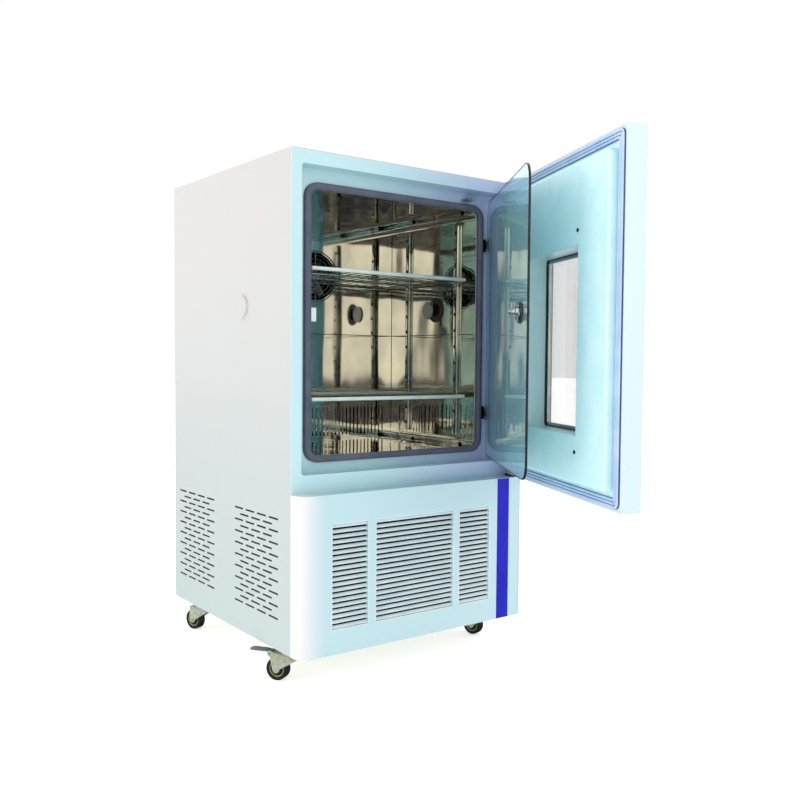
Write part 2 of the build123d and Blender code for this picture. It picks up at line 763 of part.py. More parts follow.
magnet_seal = seal_ring(0, seal_width, door_y1, seal_y1)
for start in (seal_width / 3, 2 * seal_width / 3):
    magnet_seal -= seal_ring(start - seal_groove / 2, start + seal_groove / 2, seal_y1 - seal_groove,
                             seal_y1 + past)
save("door_gasket", opened(magnet_seal))

outer_pane = block(window_x0 - window_border, window_x1 + window_border, pane_y0, pane_y0 + pane_sheet,
                   window_z0 - window_border, window_z1 + window_border)
spacer = block(window_x0 - window_border, window_x1 + window_border, pane_y0 + pane_sheet,
               pane_y1 - pane_sheet, window_z0 - window_border, window_z1 + window_border)
spacer -= block(window_x0 + pane_spacer_inset, window_x1 - pane_spacer_inset, pane_y0, pane_y1,
                window_z0 + pane_spacer_inset, window_z1 - pane_spacer_inset)
inner_pane = Pos(0, pane_sheet + pane_spacer, 0) * outer_pane
save("window_panes", opened(outer_pane + spacer + inner_pane))

handle_x, handle_z = left + handle_from_left, door_z0 + handle_from_bottom
handle = rounded(handle_x - handle_width / 2, handle_x + handle_width / 2, door_y0 - handle_proud, door_y0,
                 handle_z, handle_z + handle_length, handle_corner)
handle -= block(handle_x - handle_width, handle_x + handle_width, door_y0 - handle_proud + handle_bar,
                door_y0 + past, handle_z + handle_post, handle_z + handle_length - handle_post)
save("door_handle", opened(handle))

control_x0, control_z0 = left + control_from_left, top - control_from_top - control_height
control_y0 = door_y0 - control_proud
control = rounded(control_x0, control_x0 + control_width, control_y0, door_y0,
                  control_z0, control_z0 + control_height, control_corner)
control = chamfer(control.faces().sort_by(Axis.Y)[0].edges(), display_recess)
control_z = control_z0 + control_height / 2
display_x0 = control_x0 + display_from_left
control -= block(display_x0, display_x0 + display_size[0], control_y0 - past, control_y0 + display_recess,
                 control_z - display_size[1] / 2, control_z + display_size[1] / 2)
key_names = ("key_set", "key_down", "key_up")
key_x = {name: control_x0 + key_from_left + n * key_pitch for n, name in enumerate(key_names)}
for name, x in key_x.items():
    control -= rod_y(key_radius + loose, control_y0 - past, control_y0 + key_pocket, x, control_z)
    key = rod_y(key_radius, control_y0 - key_proud, control_y0 + key_pocket - key_travel - loose, x,
                control_z)
    save(name, opened(chamfer(key.faces().sort_by(Axis.Y)[0].edges(), key_travel / 2)))
rocker_x = control_x0 + rocker_from_left
rocker_y = control_y0 + rocker_proud
rocker_room = rocker_height / 2 + 4 * loose
control -= block(rocker_x - rocker_width / 2 - loose, rocker_x + rocker_width / 2 + loose, control_y0 - past,
                 door_y0 - display_recess / 2, control_z - rocker_room, control_z + rocker_room)
control -= rod_x(rocker_pin + running, rocker_x - rocker_width / 2 - rocker_trunnion - loose,
                 rocker_x + rocker_width / 2 + rocker_trunnion + loose, rocker_y, control_z)
save("control_panel", opened(control))
rocker_profile = Polyline((control_y0 - rocker_proud, control_z - rocker_height / 2), (control_y0, control_z),
                          (control_y0, control_z + rocker_height / 2), (rocker_y,
                                                                        control_z + rocker_height / 2),
                          (rocker_y + rocker_pin, control_z), (rocker_y,
                                                               control_z - rocker_height / 2), close=True)
rocker_plane = Plane(origin=(rocker_x, 0, 0), x_dir=(0, 1, 0), z_dir=(1, 0, 0))
rocker = extrude(rocker_plane * make_face(rocker_profile), rocker_width / 2, both=True)
rocker += rod_x(rocker_pin, rocker_x - rocker_width / 2 - rocker_trunnion,
                rocker_x + rocker_width / 2 + rocker_trunnion, rocker_y, control_z)
save("power_switch", opened(rocker))

# Fixed hinge brackets of both doors
brackets = []
lower_plate = lower_top + hinge_plate
for plate_z, pin_z, rear in (
    ((lower_top, lower_plate), (lower_plate, lower_plate + hinge_pin_length), front),
    ((hinge_seat, hinge_seat + hinge_plate), (hinge_seat - hinge_pin_length, hinge_seat),
     front + hinge_plate_rear),
):
    bracket = rounded(right - hinge_plate_width - loose, right - loose, front - hinge_plate_reach, rear,
                      *plate_z, hinge_pin, Axis.Z)
    brackets.append(bracket + rod_z(hinge_pin, *pin_z, door_hinge_x, door_hinge_y))
clips = []
for z in (chamber_z1 - glass_clip_below_top, chamber_z0 + glass_clip_above_floor):
    half = glass_barrel_length / 2
    bracket = block(glass_hinge_x - glass_barrel, glass_hinge_x + glass_bracket_width,
                    recess_floor - glass_bracket_sheet, recess_floor, z - half - glass_ear, z + half + glass_ear)
    for z0 in (z - half - glass_ear, z + half):
        bracket += rod_z(glass_barrel, z0, z0 + glass_ear, glass_hinge_x, glass_hinge_y)
        bracket += block(glass_hinge_x - glass_barrel, glass_hinge_x + glass_barrel, glass_hinge_y,
                         recess_floor,
                         z0, z0 + glass_ear)
    bracket += rod_z(glass_pin, z - half, z + half, glass_hinge_x, glass_hinge_y)
    brackets.append(bracket)
    barrel = rod_z(glass_barrel, z - half + loose, z + half - loose, glass_hinge_x, glass_hinge_y)
    clip_x0 = glass_hinge_x - glass_from_hinge - glass_clip_reach
    clip = barrel + block(clip_x0, glass_hinge_x, glass_y0 - glass_clip_sheet, glass_y0,
                          z - half + loose, z + half - loose)
    clip += rounded(clip_x0, glass_hinge_x - glass_from_hinge, glass_y0 - glass_clip_sheet, glass_y0,
                    z - glass_clip_height / 2, z + glass_clip_height / 2, glass_clip_sheet)
    clip -= rod_z(glass_pin + running, z - half, z + half, glass_hinge_x, glass_hinge_y)
    clips.append(clip)
save("hinge_brackets", *brackets)
save("glass_hinge_clips", *[glass_opened(clip) for clip in clips])

# Glass door with its turning latch
pane = rounded(glass_x0, glass_x1, glass_y0, glass_y1, glass_z0, glass_z1, glass_corner)
pane -= rod_y(knob_spindle + running, glass_y0 - past, glass_y1 + past, knob_x, knob_z)
save("glass_pane", glass_opened(pane))
knob = rod_y(knob_radius, glass_y0 - loose - knob_height, glass_y0 - loose, knob_x, knob_z)
knob = chamfer(knob.faces().sort_by(Axis.Y)[0].edges(), knob_disc_sheet)
knob += rod_y(knob_spindle, glass_y0 - loose, glass_y1 + knob_spindle_length, knob_x, knob_z)
knob += rod_y(knob_disc, glass_y1 + loose, glass_y1 + loose + knob_disc_sheet, knob_x, knob_z)
knob += rod_y(knob_hub, glass_y1 + loose, glass_y1 + knob_hub_height, knob_x, knob_z)
knob += rounded(knob_x - cam_width / 2, knob_x + cam_width / 2, cam_y0, cam_y0 + cam_sheet,
                knob_z - cam_tail, knob_z + cam_reach, cam_width / 3)
save("latch_knob", glass_opened(knob))

# Door switch plunger, through the recess floor
save("door_switch_plunger", rounded(switch_x - switch_width / 2, switch_x + switch_width / 2,
                                    recess_floor - switch_reach, recess_floor + switch_inside,
                                    switch_z - switch_height / 2, switch_z + switch_height / 2, switch_edge))

# Casters. Each is built at its own swivel axis, with its wheel trailing towards +Y, and then turned.
fork_inside = wheel_width / 2 + fork_gap
fork_outside = fork_inside + fork_sheet


def caster_fork(braked):
    """A crown on the kingpin, two legs to the axle and, on a braked caster, two ears for the pedal."""
    profile = Polyline((-crown_length / 2, crown_top), (caster_trail + fork_leg_end, crown_top),
                       (caster_trail + fork_leg_end, wheel_radius), (caster_trail - fork_leg_end,
                                                                     wheel_radius),
                       (-crown_length / 2, crown_top - 3 * crown_sheet), close=True)
    side = make_face(profile) + Pos(caster_trail, wheel_radius) * Circle(fork_leg_end)
    if braked:
        ear_y, ear_z = pedal_pivot
        arm = Polyline((caster_trail, crown_top), (ear_y, ear_z + pedal_ear), (ear_y, ear_z - pedal_ear),
                       (caster_trail + fork_leg_end, wheel_radius), (caster_trail, wheel_radius), close=True)
        side += [make_face(arm), Pos(ear_y, ear_z) * Circle(pedal_ear)]
    plane = Plane(origin=(0, 0, 0), x_dir=(0, 1, 0), z_dir=(1, 0, 0))
    solid = extrude(plane * side, fork_outside, both=True)
    solid -= block(-fork_inside, fork_inside, -crown_length, 2 * crown_length, -past, crown_top - crown_sheet)
    solid -= block(-fork_inside, fork_inside, caster_trail + fork_leg_end, 2 * crown_length, 0, 2 * crown_top)
    solid += rod_z(crown_length / 2, crown_top - crown_sheet, crown_top, 0, 0)
    solid -= rod_z(kingpin_radius + running, 0, 2 * crown_top, 0, 0)
    solid += rod_x(axle_radius, -fork_outside - fork_sheet, fork_outside + fork_sheet, caster_trail,
                   wheel_radius)
    if braked:
        solid -= rod_x(pedal_pin + running, -2 * fork_outside, 2 * fork_outside, *pedal_pivot)
    return solid


def caster_wheel():
    """A tyre with bevelled shoulders, bored for the axle."""
    wheel = rod_x(wheel_radius, -wheel_width / 2, wheel_width / 2, caster_trail, wheel_radius)
    wheel = chamfer(wheel.edges().filter_by(GeomType.CIRCLE), wheel_width / 6)
    return wheel - rod_x(axle_radius + running, -wheel_width, wheel_width, caster_trail, wheel_radius)


def brake_pedal():
    """A barrel between the ears, a foot plate behind it and a lug over the wheel."""
    y, z = pedal_pivot
    pedal = rod_x(pedal_barrel, -fork_inside + loose, fork_inside - loose, y, z)
    pedal += rod_x(pedal_pin, -fork_outside, fork_outside, y, z)
    pedal += rounded(-pedal_width / 2, pedal_width / 2, y + pedal_ear + pedal_clear, y + pedal_length,
                     z + pedal_sheet, z + 2 * pedal_sheet, pedal_width / 3, Axis.Z)
    pedal += block(-fork_inside + pedal_clear, fork_inside - pedal_clear, y, y + 1.5 * pedal_ear,
                   z + pedal_sheet - pedal_clear, z + 2 * pedal_sheet - pedal_clear)
    return pedal


mounts = []
for name, turn in caster_turn_angle.items():
    braked = name.startswith("front")
    place = Pos(left + caster_side if name.endswith("left") else right - caster_side,
                front + caster_front if braked else back - caster_rear, 0)
    swivel = place * Rot(0, 0, turn)
    save("caster_fork_" + name, swivel * caster_fork(braked))
    save("caster_wheel_" + name, swivel * caster_wheel())
    if braked:
        save("brake_pedal_" + name, swivel * brake_pedal())
    mount = block(-plate_size / 2, plate_size / 2, -plate_size / 2, plate_size / 2, base - plate_sheet, base)
    mount += rod_z(race_radius, crown_top + loose, base, 0, 0)
    head_top = crown_top - crown_sheet - loose
    mount += rod_z(kingpin_radius, head_top, base, 0, 0)
    mount += rod_z(kingpin_head, head_top - kingpin_head_height, head_top, 0, 0)
    mounts.append(place * mount)
save("caster_mounts", *mounts)

# Machine compartment, behind and below the chamber
compressor_x, compressor_y = left + compressor_from_left, back - compressor_from_back
length, width, thick = compressor_foot
can = rod_z(compressor_radius, floor_z + thick, floor_z + compressor_height, compressor_x, compressor_y)
can = chamfer(can.faces().sort_by(Axis.Z)[-1].edges(), compressor_radius / 3)
can += block(compressor_x - length / 2, compressor_x + length / 2, compressor_y - width / 2,
             compressor_y + width / 2, floor_z, floor_z + thick)
save("compressor", can)

cond_x0, cond_x1 = grille_windows[1]
cond_z0, cond_z1 = grille_z0, grille_z1
cond_y = front + condenser_behind
condenser_back = cond_y + condenser_depth
condenser = coil(cond_x0, cond_x1, cond_y, condenser_back, cond_z0, cond_z1, condenser_fins, condenser_back)
for x in (cond_x0, cond_x1 - fin_sheet):
    condenser += block(x, x + fin_sheet, cond_y, condenser_back, floor_z, cond_z0 + fin_sheet)
save("condenser", condenser)

cond_x, cond_z = (cond_x0 + cond_x1) / 2, (cond_z0 + cond_z1) / 2
shroud_y = condenser_back
shroud = block(cond_x - shroud_size / 2, cond_x + shroud_size / 2, shroud_y, shroud_y + shroud_sheet,
               floor_z, cond_z + shroud_size / 2)
shroud -= rod_y(condenser_fan_radius + 2 * shroud_sheet, shroud_y - past, shroud_y + shroud_sheet + past,
                cond_x, cond_z)
arm_y = shroud_y + shroud_sheet + fan_width + 6 * shroud_sheet
arm = block(cond_x - shroud_size / 2, cond_x + shroud_size / 2, arm_y, arm_y + shroud_sheet,
            cond_z - motor_length / 4, cond_z + motor_length / 4)
for x in (cond_x - shroud_size / 2, cond_x + shroud_size / 2 - shroud_sheet):
    arm += block(x, x + shroud_sheet, shroud_y, arm_y + shroud_sheet,
                 cond_z - motor_length / 4, cond_z + motor_length / 4)
shroud += arm
shroud += rod_y(condenser_motor, arm_y, arm_y + motor_length, cond_x, cond_z)
shroud -= rod_y(shaft_radius + running, arm_y - past, arm_y + motor_length / 2, cond_x, cond_z)
save("condenser_fan_motor", shroud)
save("condenser_fan", axial_fan(cond_x, cond_z, shroud_y + 2 * shroud_sheet, fan_width, condenser_fan_radius,
                                fan_hub, 6, arm_y + motor_length / 3))

tank_x, tank_y = right - tank_from_right, back - tank_from_back
tank = rounded(tank_x - tank_size[0] / 2, tank_x + tank_size[0] / 2, tank_y - tank_size[1] / 2,
               tank_y + tank_size[1] / 2, floor_z, floor_z + tank_size[2], tank_corner, Axis.Z)
tank += rod_z(tank_corner, floor_z + tank_size[2], floor_z + tank_size[2] + tank_corner, tank_x, tank_y)
save("water_tank", tank)
boiler_x, boiler_y = right - boiler_from_right, front + boiler_from_front
boiler = rod_z(boiler_radius, floor_z, floor_z + boiler_height, boiler_x, boiler_y)
boiler = chamfer(boiler.faces().sort_by(Axis.Z)[-1].edges(), tank_corner)
boiler += rod_z(tank_corner / 2, floor_z + boiler_height, foam_z0, boiler_x, boiler_y)
save("humidifier", boiler)

socket_width, socket_height, socket_proud = inlet_socket
socket_z = base + vent_from_base
socket_x = right - 2 * socket_width
socket = rounded(socket_x - socket_width / 2, socket_x + socket_width / 2, back, back + socket_proud,
                 socket_z - socket_height / 2, socket_z + socket_height / 2, socket_height / 6)
socket -= block(socket_x - socket_width / 4, socket_x + socket_width / 4, back + socket_proud / 3,
                back + socket_proud + past, socket_z - socket_height / 4, socket_z + socket_height / 4)
spout_radius, spout_length = drain_spout
spout = rod_y(spout_radius, back, back + spout_length, left + 2 * socket_width, socket_z)
spout += rod_y(1.5 * spout_radius, back, back + spout_length / 4, left + 2 * socket_width, socket_z)
spout -= rod_y(spout_radius - spout_wall, back + spout_length / 4, back + spout_length + past,
               left + 2 * socket_width, socket_z)
save("rear_fittings", socket, spout)
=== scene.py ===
# %% [markdown]
# A humidity incubator for a life science bench, dressed around its CAD frame.
# The real cabinet is a folded steel casing on four casters. Behind an insulated outer door and an
# inner glass door it holds a chamber of mirror polished stainless steel with two wire shelves.
# The frame gives the sizes: a piece below reads its place from a CAD node where it can, and otherwise
# from a named size in millimetres. The scene itself is in metres.

# %% Load the frame
import json
import math
import bmesh
import bpy
from mathutils import Matrix, Vector


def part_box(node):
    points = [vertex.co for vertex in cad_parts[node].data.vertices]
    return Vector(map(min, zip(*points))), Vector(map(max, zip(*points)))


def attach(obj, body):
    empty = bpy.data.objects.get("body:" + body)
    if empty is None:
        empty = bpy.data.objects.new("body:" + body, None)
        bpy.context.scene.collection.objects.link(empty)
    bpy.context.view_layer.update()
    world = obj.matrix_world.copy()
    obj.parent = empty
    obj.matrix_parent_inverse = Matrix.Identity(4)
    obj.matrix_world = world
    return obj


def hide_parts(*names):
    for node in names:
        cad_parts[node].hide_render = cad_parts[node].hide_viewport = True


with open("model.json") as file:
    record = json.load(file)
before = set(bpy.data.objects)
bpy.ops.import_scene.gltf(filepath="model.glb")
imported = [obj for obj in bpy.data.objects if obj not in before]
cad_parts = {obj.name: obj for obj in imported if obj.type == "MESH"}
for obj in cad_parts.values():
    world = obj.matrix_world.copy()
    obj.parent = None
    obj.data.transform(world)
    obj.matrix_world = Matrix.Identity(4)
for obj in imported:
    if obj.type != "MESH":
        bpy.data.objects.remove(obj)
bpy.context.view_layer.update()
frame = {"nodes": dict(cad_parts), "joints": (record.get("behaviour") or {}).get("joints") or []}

MM = 0.001
JOINTS = {joint["name"]: joint for joint in frame["joints"]}
print("nodes:", len(frame["nodes"]), "joints:", len(JOINTS))

# %% [markdown]
# The camera comes first, because every later choice is judged from it. Its place, its turn and its
# focal length follow from the straight edges of the cabinet: with the casing's corners known, only
# one camera sees them where the photograph does. The small sideways shift stands for the
# photograph's crop, whose middle isn't where the lens was aimed.

# %% Camera at the photograph's viewing angle
CAMERA_PLACE = Vector((-1.4434, -2.3842, 0.8376))
CAMERA_YAW, CAMERA_PITCH, CAMERA_ROLL = math.radians(38.76), math.radians(2.54), math.radians(-0.61)
CAMERA_LENS, SENSOR_WIDTH, CAMERA_SHIFT = 41.0, 36.0, -0.0776


def aim_camera(place, yaw, pitch, roll):
    """Adds the camera, looking along yaw (from +Y towards +X) and pitch (downwards), and rolls it."""
    forward = Vector((math.sin(yaw) * math.cos(pitch), math.cos(yaw) * math.cos(pitch), -math.sin(pitch)))
    right = Vector((math.cos(yaw), -math.sin(yaw), 0))
    down = forward.cross(right)
    level_right, level_down = right.copy(), down.copy()
    right = level_right * math.cos(roll) + level_down * math.sin(roll)
    down = level_down * math.cos(roll) - level_right * math.sin(roll)
    turn = Matrix((right, -down, -forward)).transposed()
    bpy.ops.object.camera_add(location=place, rotation=turn.to_euler())
    camera = bpy.context.object
    camera.data.lens = CAMERA_LENS
    camera.data.sensor_width = SENSOR_WIDTH
    camera.data.shift_x = CAMERA_SHIFT
    bpy.context.scene.camera = camera
    return camera


aim_camera(CAMERA_PLACE, CAMERA_YAW, CAMERA_PITCH, CAMERA_ROLL)
print("camera at", tuple(CAMERA_PLACE))

# %% [markdown]
# A finish is easiest to match when its colour is written as the screen shows it. One function turns
# such a hex colour to the linear values that the shader needs, and one adds a node with its settings
# and links, so that every material below reads as a short recipe.

# %% Colours and shader nodes


def linear(hex_colour):
    """One sRGB hex colour as linear red, green, blue and alpha."""
    channels = [int(hex_colour[i:i + 2], 16) / 255 for i in (1, 3, 5)]
    return (*[c / 12.92 if c <= 0.04045 else ((c + 0.055) / 1.055) ** 2.4 for c in channels], 1.0)


def add(tree, kind, inputs=None, **settings):
    """Adds one node: settings are its own properties, inputs are socket values or what feeds them."""
    new = tree.nodes.new(kind)
    for name, value in settings.items():
        setattr(new, name, value)
    for socket, value in (inputs or {}).items():
        if isinstance(value, bpy.types.NodeSocket):
            tree.links.new(value, new.inputs[socket])
        else:
            new.inputs[socket].default_value = value
    return new


print("white in linear values:", linear("#ffffff"))

# %% [markdown]
# The studio is a plain white sky over a pale floor. Polished steel shows whatever stands around it,
# so mirror reflections see a room instead: upright cream panels and dark gaps in front of the cabinet,
# as a laboratory would show, and plain white behind it. All other rays see white: full white where the
# camera looks past the object, and a little less where the sky lights it.

# %% Sky
SKY, ROOM_CREAM, ROOM_DARK = linear("#ffffff"), linear("#f3f0e6"), linear("#0a0b0e")
SEEN_STRENGTH, LIGHT_STRENGTH, ROOM_STRENGTH = 1.0, 0.92, 1.5
ROOM_PANELS, PANELS_TALL, ROOM_TURN = 6.5, (1, 1, 0.35), (0.48, 0.1, 0.0)

world = bpy.data.worlds.new("studio_sky")
bpy.context.scene.world = world
world.use_nodes = True
sky_tree = world.node_tree
sky_tree.nodes.clear()
direction = add(sky_tree, "ShaderNodeTexCoord").outputs["Generated"]
upright = add(sky_tree, "ShaderNodeMapping",
              {"Vector": direction, "Location": ROOM_TURN, "Scale": PANELS_TALL}).outputs[0]
panels = add(sky_tree, "ShaderNodeTexNoise",
             {"Vector": upright, "Scale": ROOM_PANELS, "Detail": 2.0}).outputs["Fac"]
cream = add(sky_tree, "ShaderNodeMapRange",
            {"Value": panels, "From Min": 0.43, "From Max": 0.48}).outputs["Result"]
room = add(sky_tree, "ShaderNodeMix", {"Factor": cream, "A": ROOM_DARK, "B": ROOM_CREAM}, data_type="RGBA")
lengthwise = add(sky_tree, "ShaderNodeSeparateXYZ", {"Vector": direction}).outputs["Y"]
behind = add(sky_tree, "ShaderNodeMapRange",
             {"Value": lengthwise, "From Min": -0.1, "From Max": 0.2}).outputs["Result"]
around = add(sky_tree, "ShaderNodeMix",
             {"Factor": behind, "A": room.outputs["Result"], "B": SKY}, data_type="RGBA")
room_light = add(sky_tree, "ShaderNodeBackground",
                 {"Color": around.outputs["Result"], "Strength": ROOM_STRENGTH})
ray = add(sky_tree, "ShaderNodeLightPath")
through_glass = ray.outputs["Is Transmission Ray"]
looked_at = add(sky_tree, "ShaderNodeMath",
                {0: ray.outputs["Is Camera Ray"], 1: through_glass}, operation="MAXIMUM")
sky_strength = add(sky_tree, "ShaderNodeMapRange", {"Value": looked_at.outputs[0], "To Min": LIGHT_STRENGTH,
                                                    "To Max": SEEN_STRENGTH}).outputs["Result"]
plain_sky = add(sky_tree, "ShaderNodeBackground", {"Color": SKY, "Strength": sky_strength})
mirrored = add(sky_tree, "ShaderNodeMath",
               {0: ray.outputs["Is Glossy Ray"], 1: through_glass}, operation="SUBTRACT")
mirrored.use_clamp = True
both = add(sky_tree, "ShaderNodeMixShader",
           {0: mirrored.outputs[0], 1: plain_sky.outputs[0], 2: room_light.outputs[0]})
add(sky_tree, "ShaderNodeOutputWorld", {"Surface": both.outputs[0]})
bpy.context.scene.view_settings.view_transform = "Standard"
print("sky ready")

# %% [markdown]
# The floor is one large matt sheet. It is bright enough to meet the sky without a visible horizon,
# and it keeps the faint shadow that grounds the casters. Three large soft lamps stand where a
# photographer would put them: high on the left, in front, and low on the left for the open door.

# %% Floor and soft lamps
FLOOR_SIZE = 60.0

bpy.ops.object.select_all(action="DESELECT")
bpy.ops.mesh.primitive_plane_add(size=FLOOR_SIZE, location=(0, 0, 0))
floor = bpy.context.object
floor.name = "studio_floor"


def soft_light(name, place, target, size, power):
    """A large area lamp at a place, aimed at a target."""
    bpy.ops.object.light_add(type="AREA", location=place)
    lamp = bpy.context.object
    lamp.name = name
    lamp.data.size = size
    lamp.data.energy = power
    lamp.rotation_euler = (Vector(target) - Vector(place)).to_track_quat("-Z", "Y").to_euler()


soft_light("key_softbox", (-3.2, -2.2, 3.0), (0, 0, 0.7), 2.4, 6)
soft_light("front_softbox", (0.6, -4.2, 2.2), (0, 0, 0.7), 2.6, 16)
soft_light("door_softbox", (-3.0, 0.6, 1.2), (0.2, -0.8, 0.9), 1.6, 15)
print("studio ready")

# %% [markdown]
# Every finish starts as a Principled shader with constants on its own sockets, because the export
# keeps those. What varies over the surface, such as the faint orange peel of a powder coat, comes
# from textures on Object coordinates, whose scale is worked out from a real size in millimetres.

# %% Material helpers


def finish_of(name, hex_colour, **constants):
    """A new material with one Principled shader; returns the material, its tree and the shader."""
    material = bpy.data.materials.new(name)
    material.use_nodes = True
    tree = material.node_tree
    tree.nodes.clear()
    shader = add(tree, "ShaderNodeBsdfPrincipled", {"Base Color": linear(hex_colour)})
    for socket, value in constants.items():
        shader.inputs[socket.replace("_", " ")].default_value = value
    add(tree, "ShaderNodeOutputMaterial", {"Surface": shader.outputs[0]})
    material.diffuse_color = linear(hex_colour)
    return material, tree, shader


def grain(tree, size_mm, detail=2.0, stretch=(1, 1, 1)):
    """A noise whose blobs measure about size_mm on the object, squeezed along an axis if asked."""
    place = add(tree, "ShaderNodeTexCoord").outputs["Object"]
    mapped = add(tree, "ShaderNodeMapping", {"Vector": place, "Scale": stretch}).outputs[0]
    noise = add(tree, "ShaderNodeTexNoise",
                {"Vector": mapped, "Scale": 1 / (size_mm * MM), "Detail": detail})
    return noise.outputs["Fac"]


def two_tone(tree, shader, factor, hex_a, hex_b, low=0.35, high=0.65):
    """Feeds the base colour with a soft mix of two colours, driven by a texture."""
    spread = add(tree, "ShaderNodeMapRange", {"Value": factor, "From Min": low, "From Max": high})
    mix = add(tree, "ShaderNodeMix",
              {"Factor": spread.outputs["Result"], "A": linear(hex_a), "B": linear(hex_b)},
              data_type="RGBA")
    tree.links.new(mix.outputs["Result"], shader.inputs["Base Color"])


def relief(tree, shader, height, depth_mm, strength=1.0):
    """Feeds the normal with a bump of a real depth."""
    bump = add(tree, "ShaderNodeBump", {"Height": height, "Distance": depth_mm * MM, "Strength": strength})
    tree.links.new(bump.outputs[0], shader.inputs["Normal"])


def rough_range(tree, shader, factor, low, high):
    """Feeds the roughness with a texture between two values."""
    spread = add(tree, "ShaderNodeMapRange", {"Value": factor, "To Min": low, "To Max": high})
    tree.links.new(spread.outputs["Result"], shader.inputs["Roughness"])


print("material helpers ready, patterns are scaled from millimetres by", MM)

# %% [markdown]
# The casing is folded steel sheet with a baked powder coat. Powder melts into a satin skin with orange
# peel, which softens every highlight. One flat colour would look like card, so the tone drifts down the
# sheet and in faint clouds on the casing and the door. Two coats also carry painted light: a painted
# highlight lightens the rounded left edge of the lower cover, and painted shade turns the recess from
# pale cyan to lilac towards the right.

# %% Powder coats
PEEL_MM, PEEL_DEPTH_MM, PEEL_STRENGTH, SATIN = 2.2, 0.05, 0.5, 0.42
CLOUD_MM, CLOUD_RISE, COAT_LOW, COAT_HIGH = 320, 0.25, 0.22, 1.42


def powder_coat(name, hex_low, hex_high):
    """Powder coat whose tone drifts from the foot to the top of a sheet, in faint clouds."""
    material, tree, shader = finish_of(name, hex_high, Roughness=SATIN)
    place = add(tree, "ShaderNodeTexCoord").outputs["Object"]
    height = add(tree, "ShaderNodeSeparateXYZ", {"Vector": place}).outputs["Z"]
    cloud = add(tree, "ShaderNodeMath", {0: grain(tree, CLOUD_MM), 1: CLOUD_RISE}, operation="MULTIPLY")
    drift = add(tree, "ShaderNodeMath", {0: height, 1: cloud.outputs[0]}, operation="ADD").outputs[0]
    two_tone(tree, shader, drift, hex_low, hex_high, COAT_LOW, COAT_HIGH)
    relief(tree, shader, grain(tree, PEEL_MM), PEEL_DEPTH_MM, PEEL_STRENGTH)
    return material


def sideways_coat(name, hex_left, hex_right, left, right):
    """Powder coat whose tone turns between two places along X."""
    material, tree, shader = finish_of(name, hex_right, Roughness=SATIN)
    place = add(tree, "ShaderNodeTexCoord").outputs["Object"]
    across = add(tree, "ShaderNodeSeparateXYZ", {"Vector": place}).outputs["X"]
    two_tone(tree, shader, across, hex_left, hex_right, left, right)
    relief(tree, shader, grain(tree, PEEL_MM), PEEL_DEPTH_MM, PEEL_STRENGTH)
    return material


side_coat = powder_coat("powder_coat_white", "#c0cdcd", "#c6c2c0")
door_coat = powder_coat("powder_coat_door", "#c8dce4", "#cfe0e6")
# The lower cover's left end is lighter: a painted highlight on its rounded edge, which faces the light.
front_coat_with_painted_highlight = sideways_coat("pale_cyan_coat_painted_highlight", "#e9e3e3", "#b9d6dd", -0.37, -0.3)
# The recess turns from pale cyan to lilac towards the right: painted shade on a frame of one colour.
recess_coat_with_painted_shade = sideways_coat("recess_coat_painted_shade", "#bfe0e6", "#b0bee4", -0.1, 0.36)
print("powder coats ready")

# %% [markdown]
# Polished steel has almost no colour of its own: the eye reads it by what it mirrors, and by the slight
# waves of the sheet that bend those mirror images. So the waves matter more than the tint. Electropolished
# wire and nickel plate are softer. Moulded plastic and rubber need a fine eroded texture and a low sheen.
# Zinc plate under its passivated film is half metal and half pale film, greenish with yellow clouds. Glass
# is a clear solid: its green or cyan tint shows through its own colour and its thickness.

# %% Steel, rubber, plastic and glass


def polished_steel(name, hex_a, hex_b, low, high, grain_mm, wave_mm, stretch=(1, 1, 1)):
    """Polished steel: a metal whose sheen and flatness wander a little over each sheet."""
    material, tree, shader = finish_of(name, hex_a, Metallic=1.0, Roughness=low)
    two_tone(tree, shader, grain(tree, grain_mm), hex_a, hex_b)
    rough_range(tree, shader, grain(tree, grain_mm / 3), low, high)
    relief(tree, shader, grain(tree, grain_mm, 1.0, stretch), wave_mm)
    return material


def moulded(name, hex_a, hex_b, roughness=0.45, texture_mm=0.8, depth_mm=0.04):
    """Moulded plastic or rubber with a fine eroded texture."""
    material, tree, shader = finish_of(name, hex_a, Roughness=roughness)
    two_tone(tree, shader, grain(tree, 60), hex_a, hex_b)
    relief(tree, shader, grain(tree, texture_mm), depth_mm, 0.6)
    return material


SHEET_WAVE = (1, 1, 0.4)
mirror_steel = polished_steel("mirror_stainless", "#dfdcd0", "#cfcdc3", 0.02, 0.05, 130, 1.9, SHEET_WAVE)
duct_steel = polished_steel("bright_annealed_stainless", "#dad7c9", "#c9c7bb", 0.03, 0.08, 130, 1.5,
                            SHEET_WAVE)
wire_steel = polished_steel("electropolished_wire", "#b3b8b4", "#8d938f", 0.16, 0.28, 40, 0.1)
guard_steel = polished_steel("nickel_plated_guard", "#8b8f8d", "#6f7371", 0.25, 0.35, 40, 0.1)


def plated(name, hex_a, hex_b, grain_mm=14):
    """Zinc plate with a passivated film: half metal, half pale film, in faint clouds."""
    material, tree, shader = finish_of(name, hex_a, Metallic=0.45, Roughness=0.42)
    two_tone(tree, shader, grain(tree, grain_mm), hex_a, hex_b)
    relief(tree, shader, grain(tree, grain_mm / 4), 0.05)
    return material


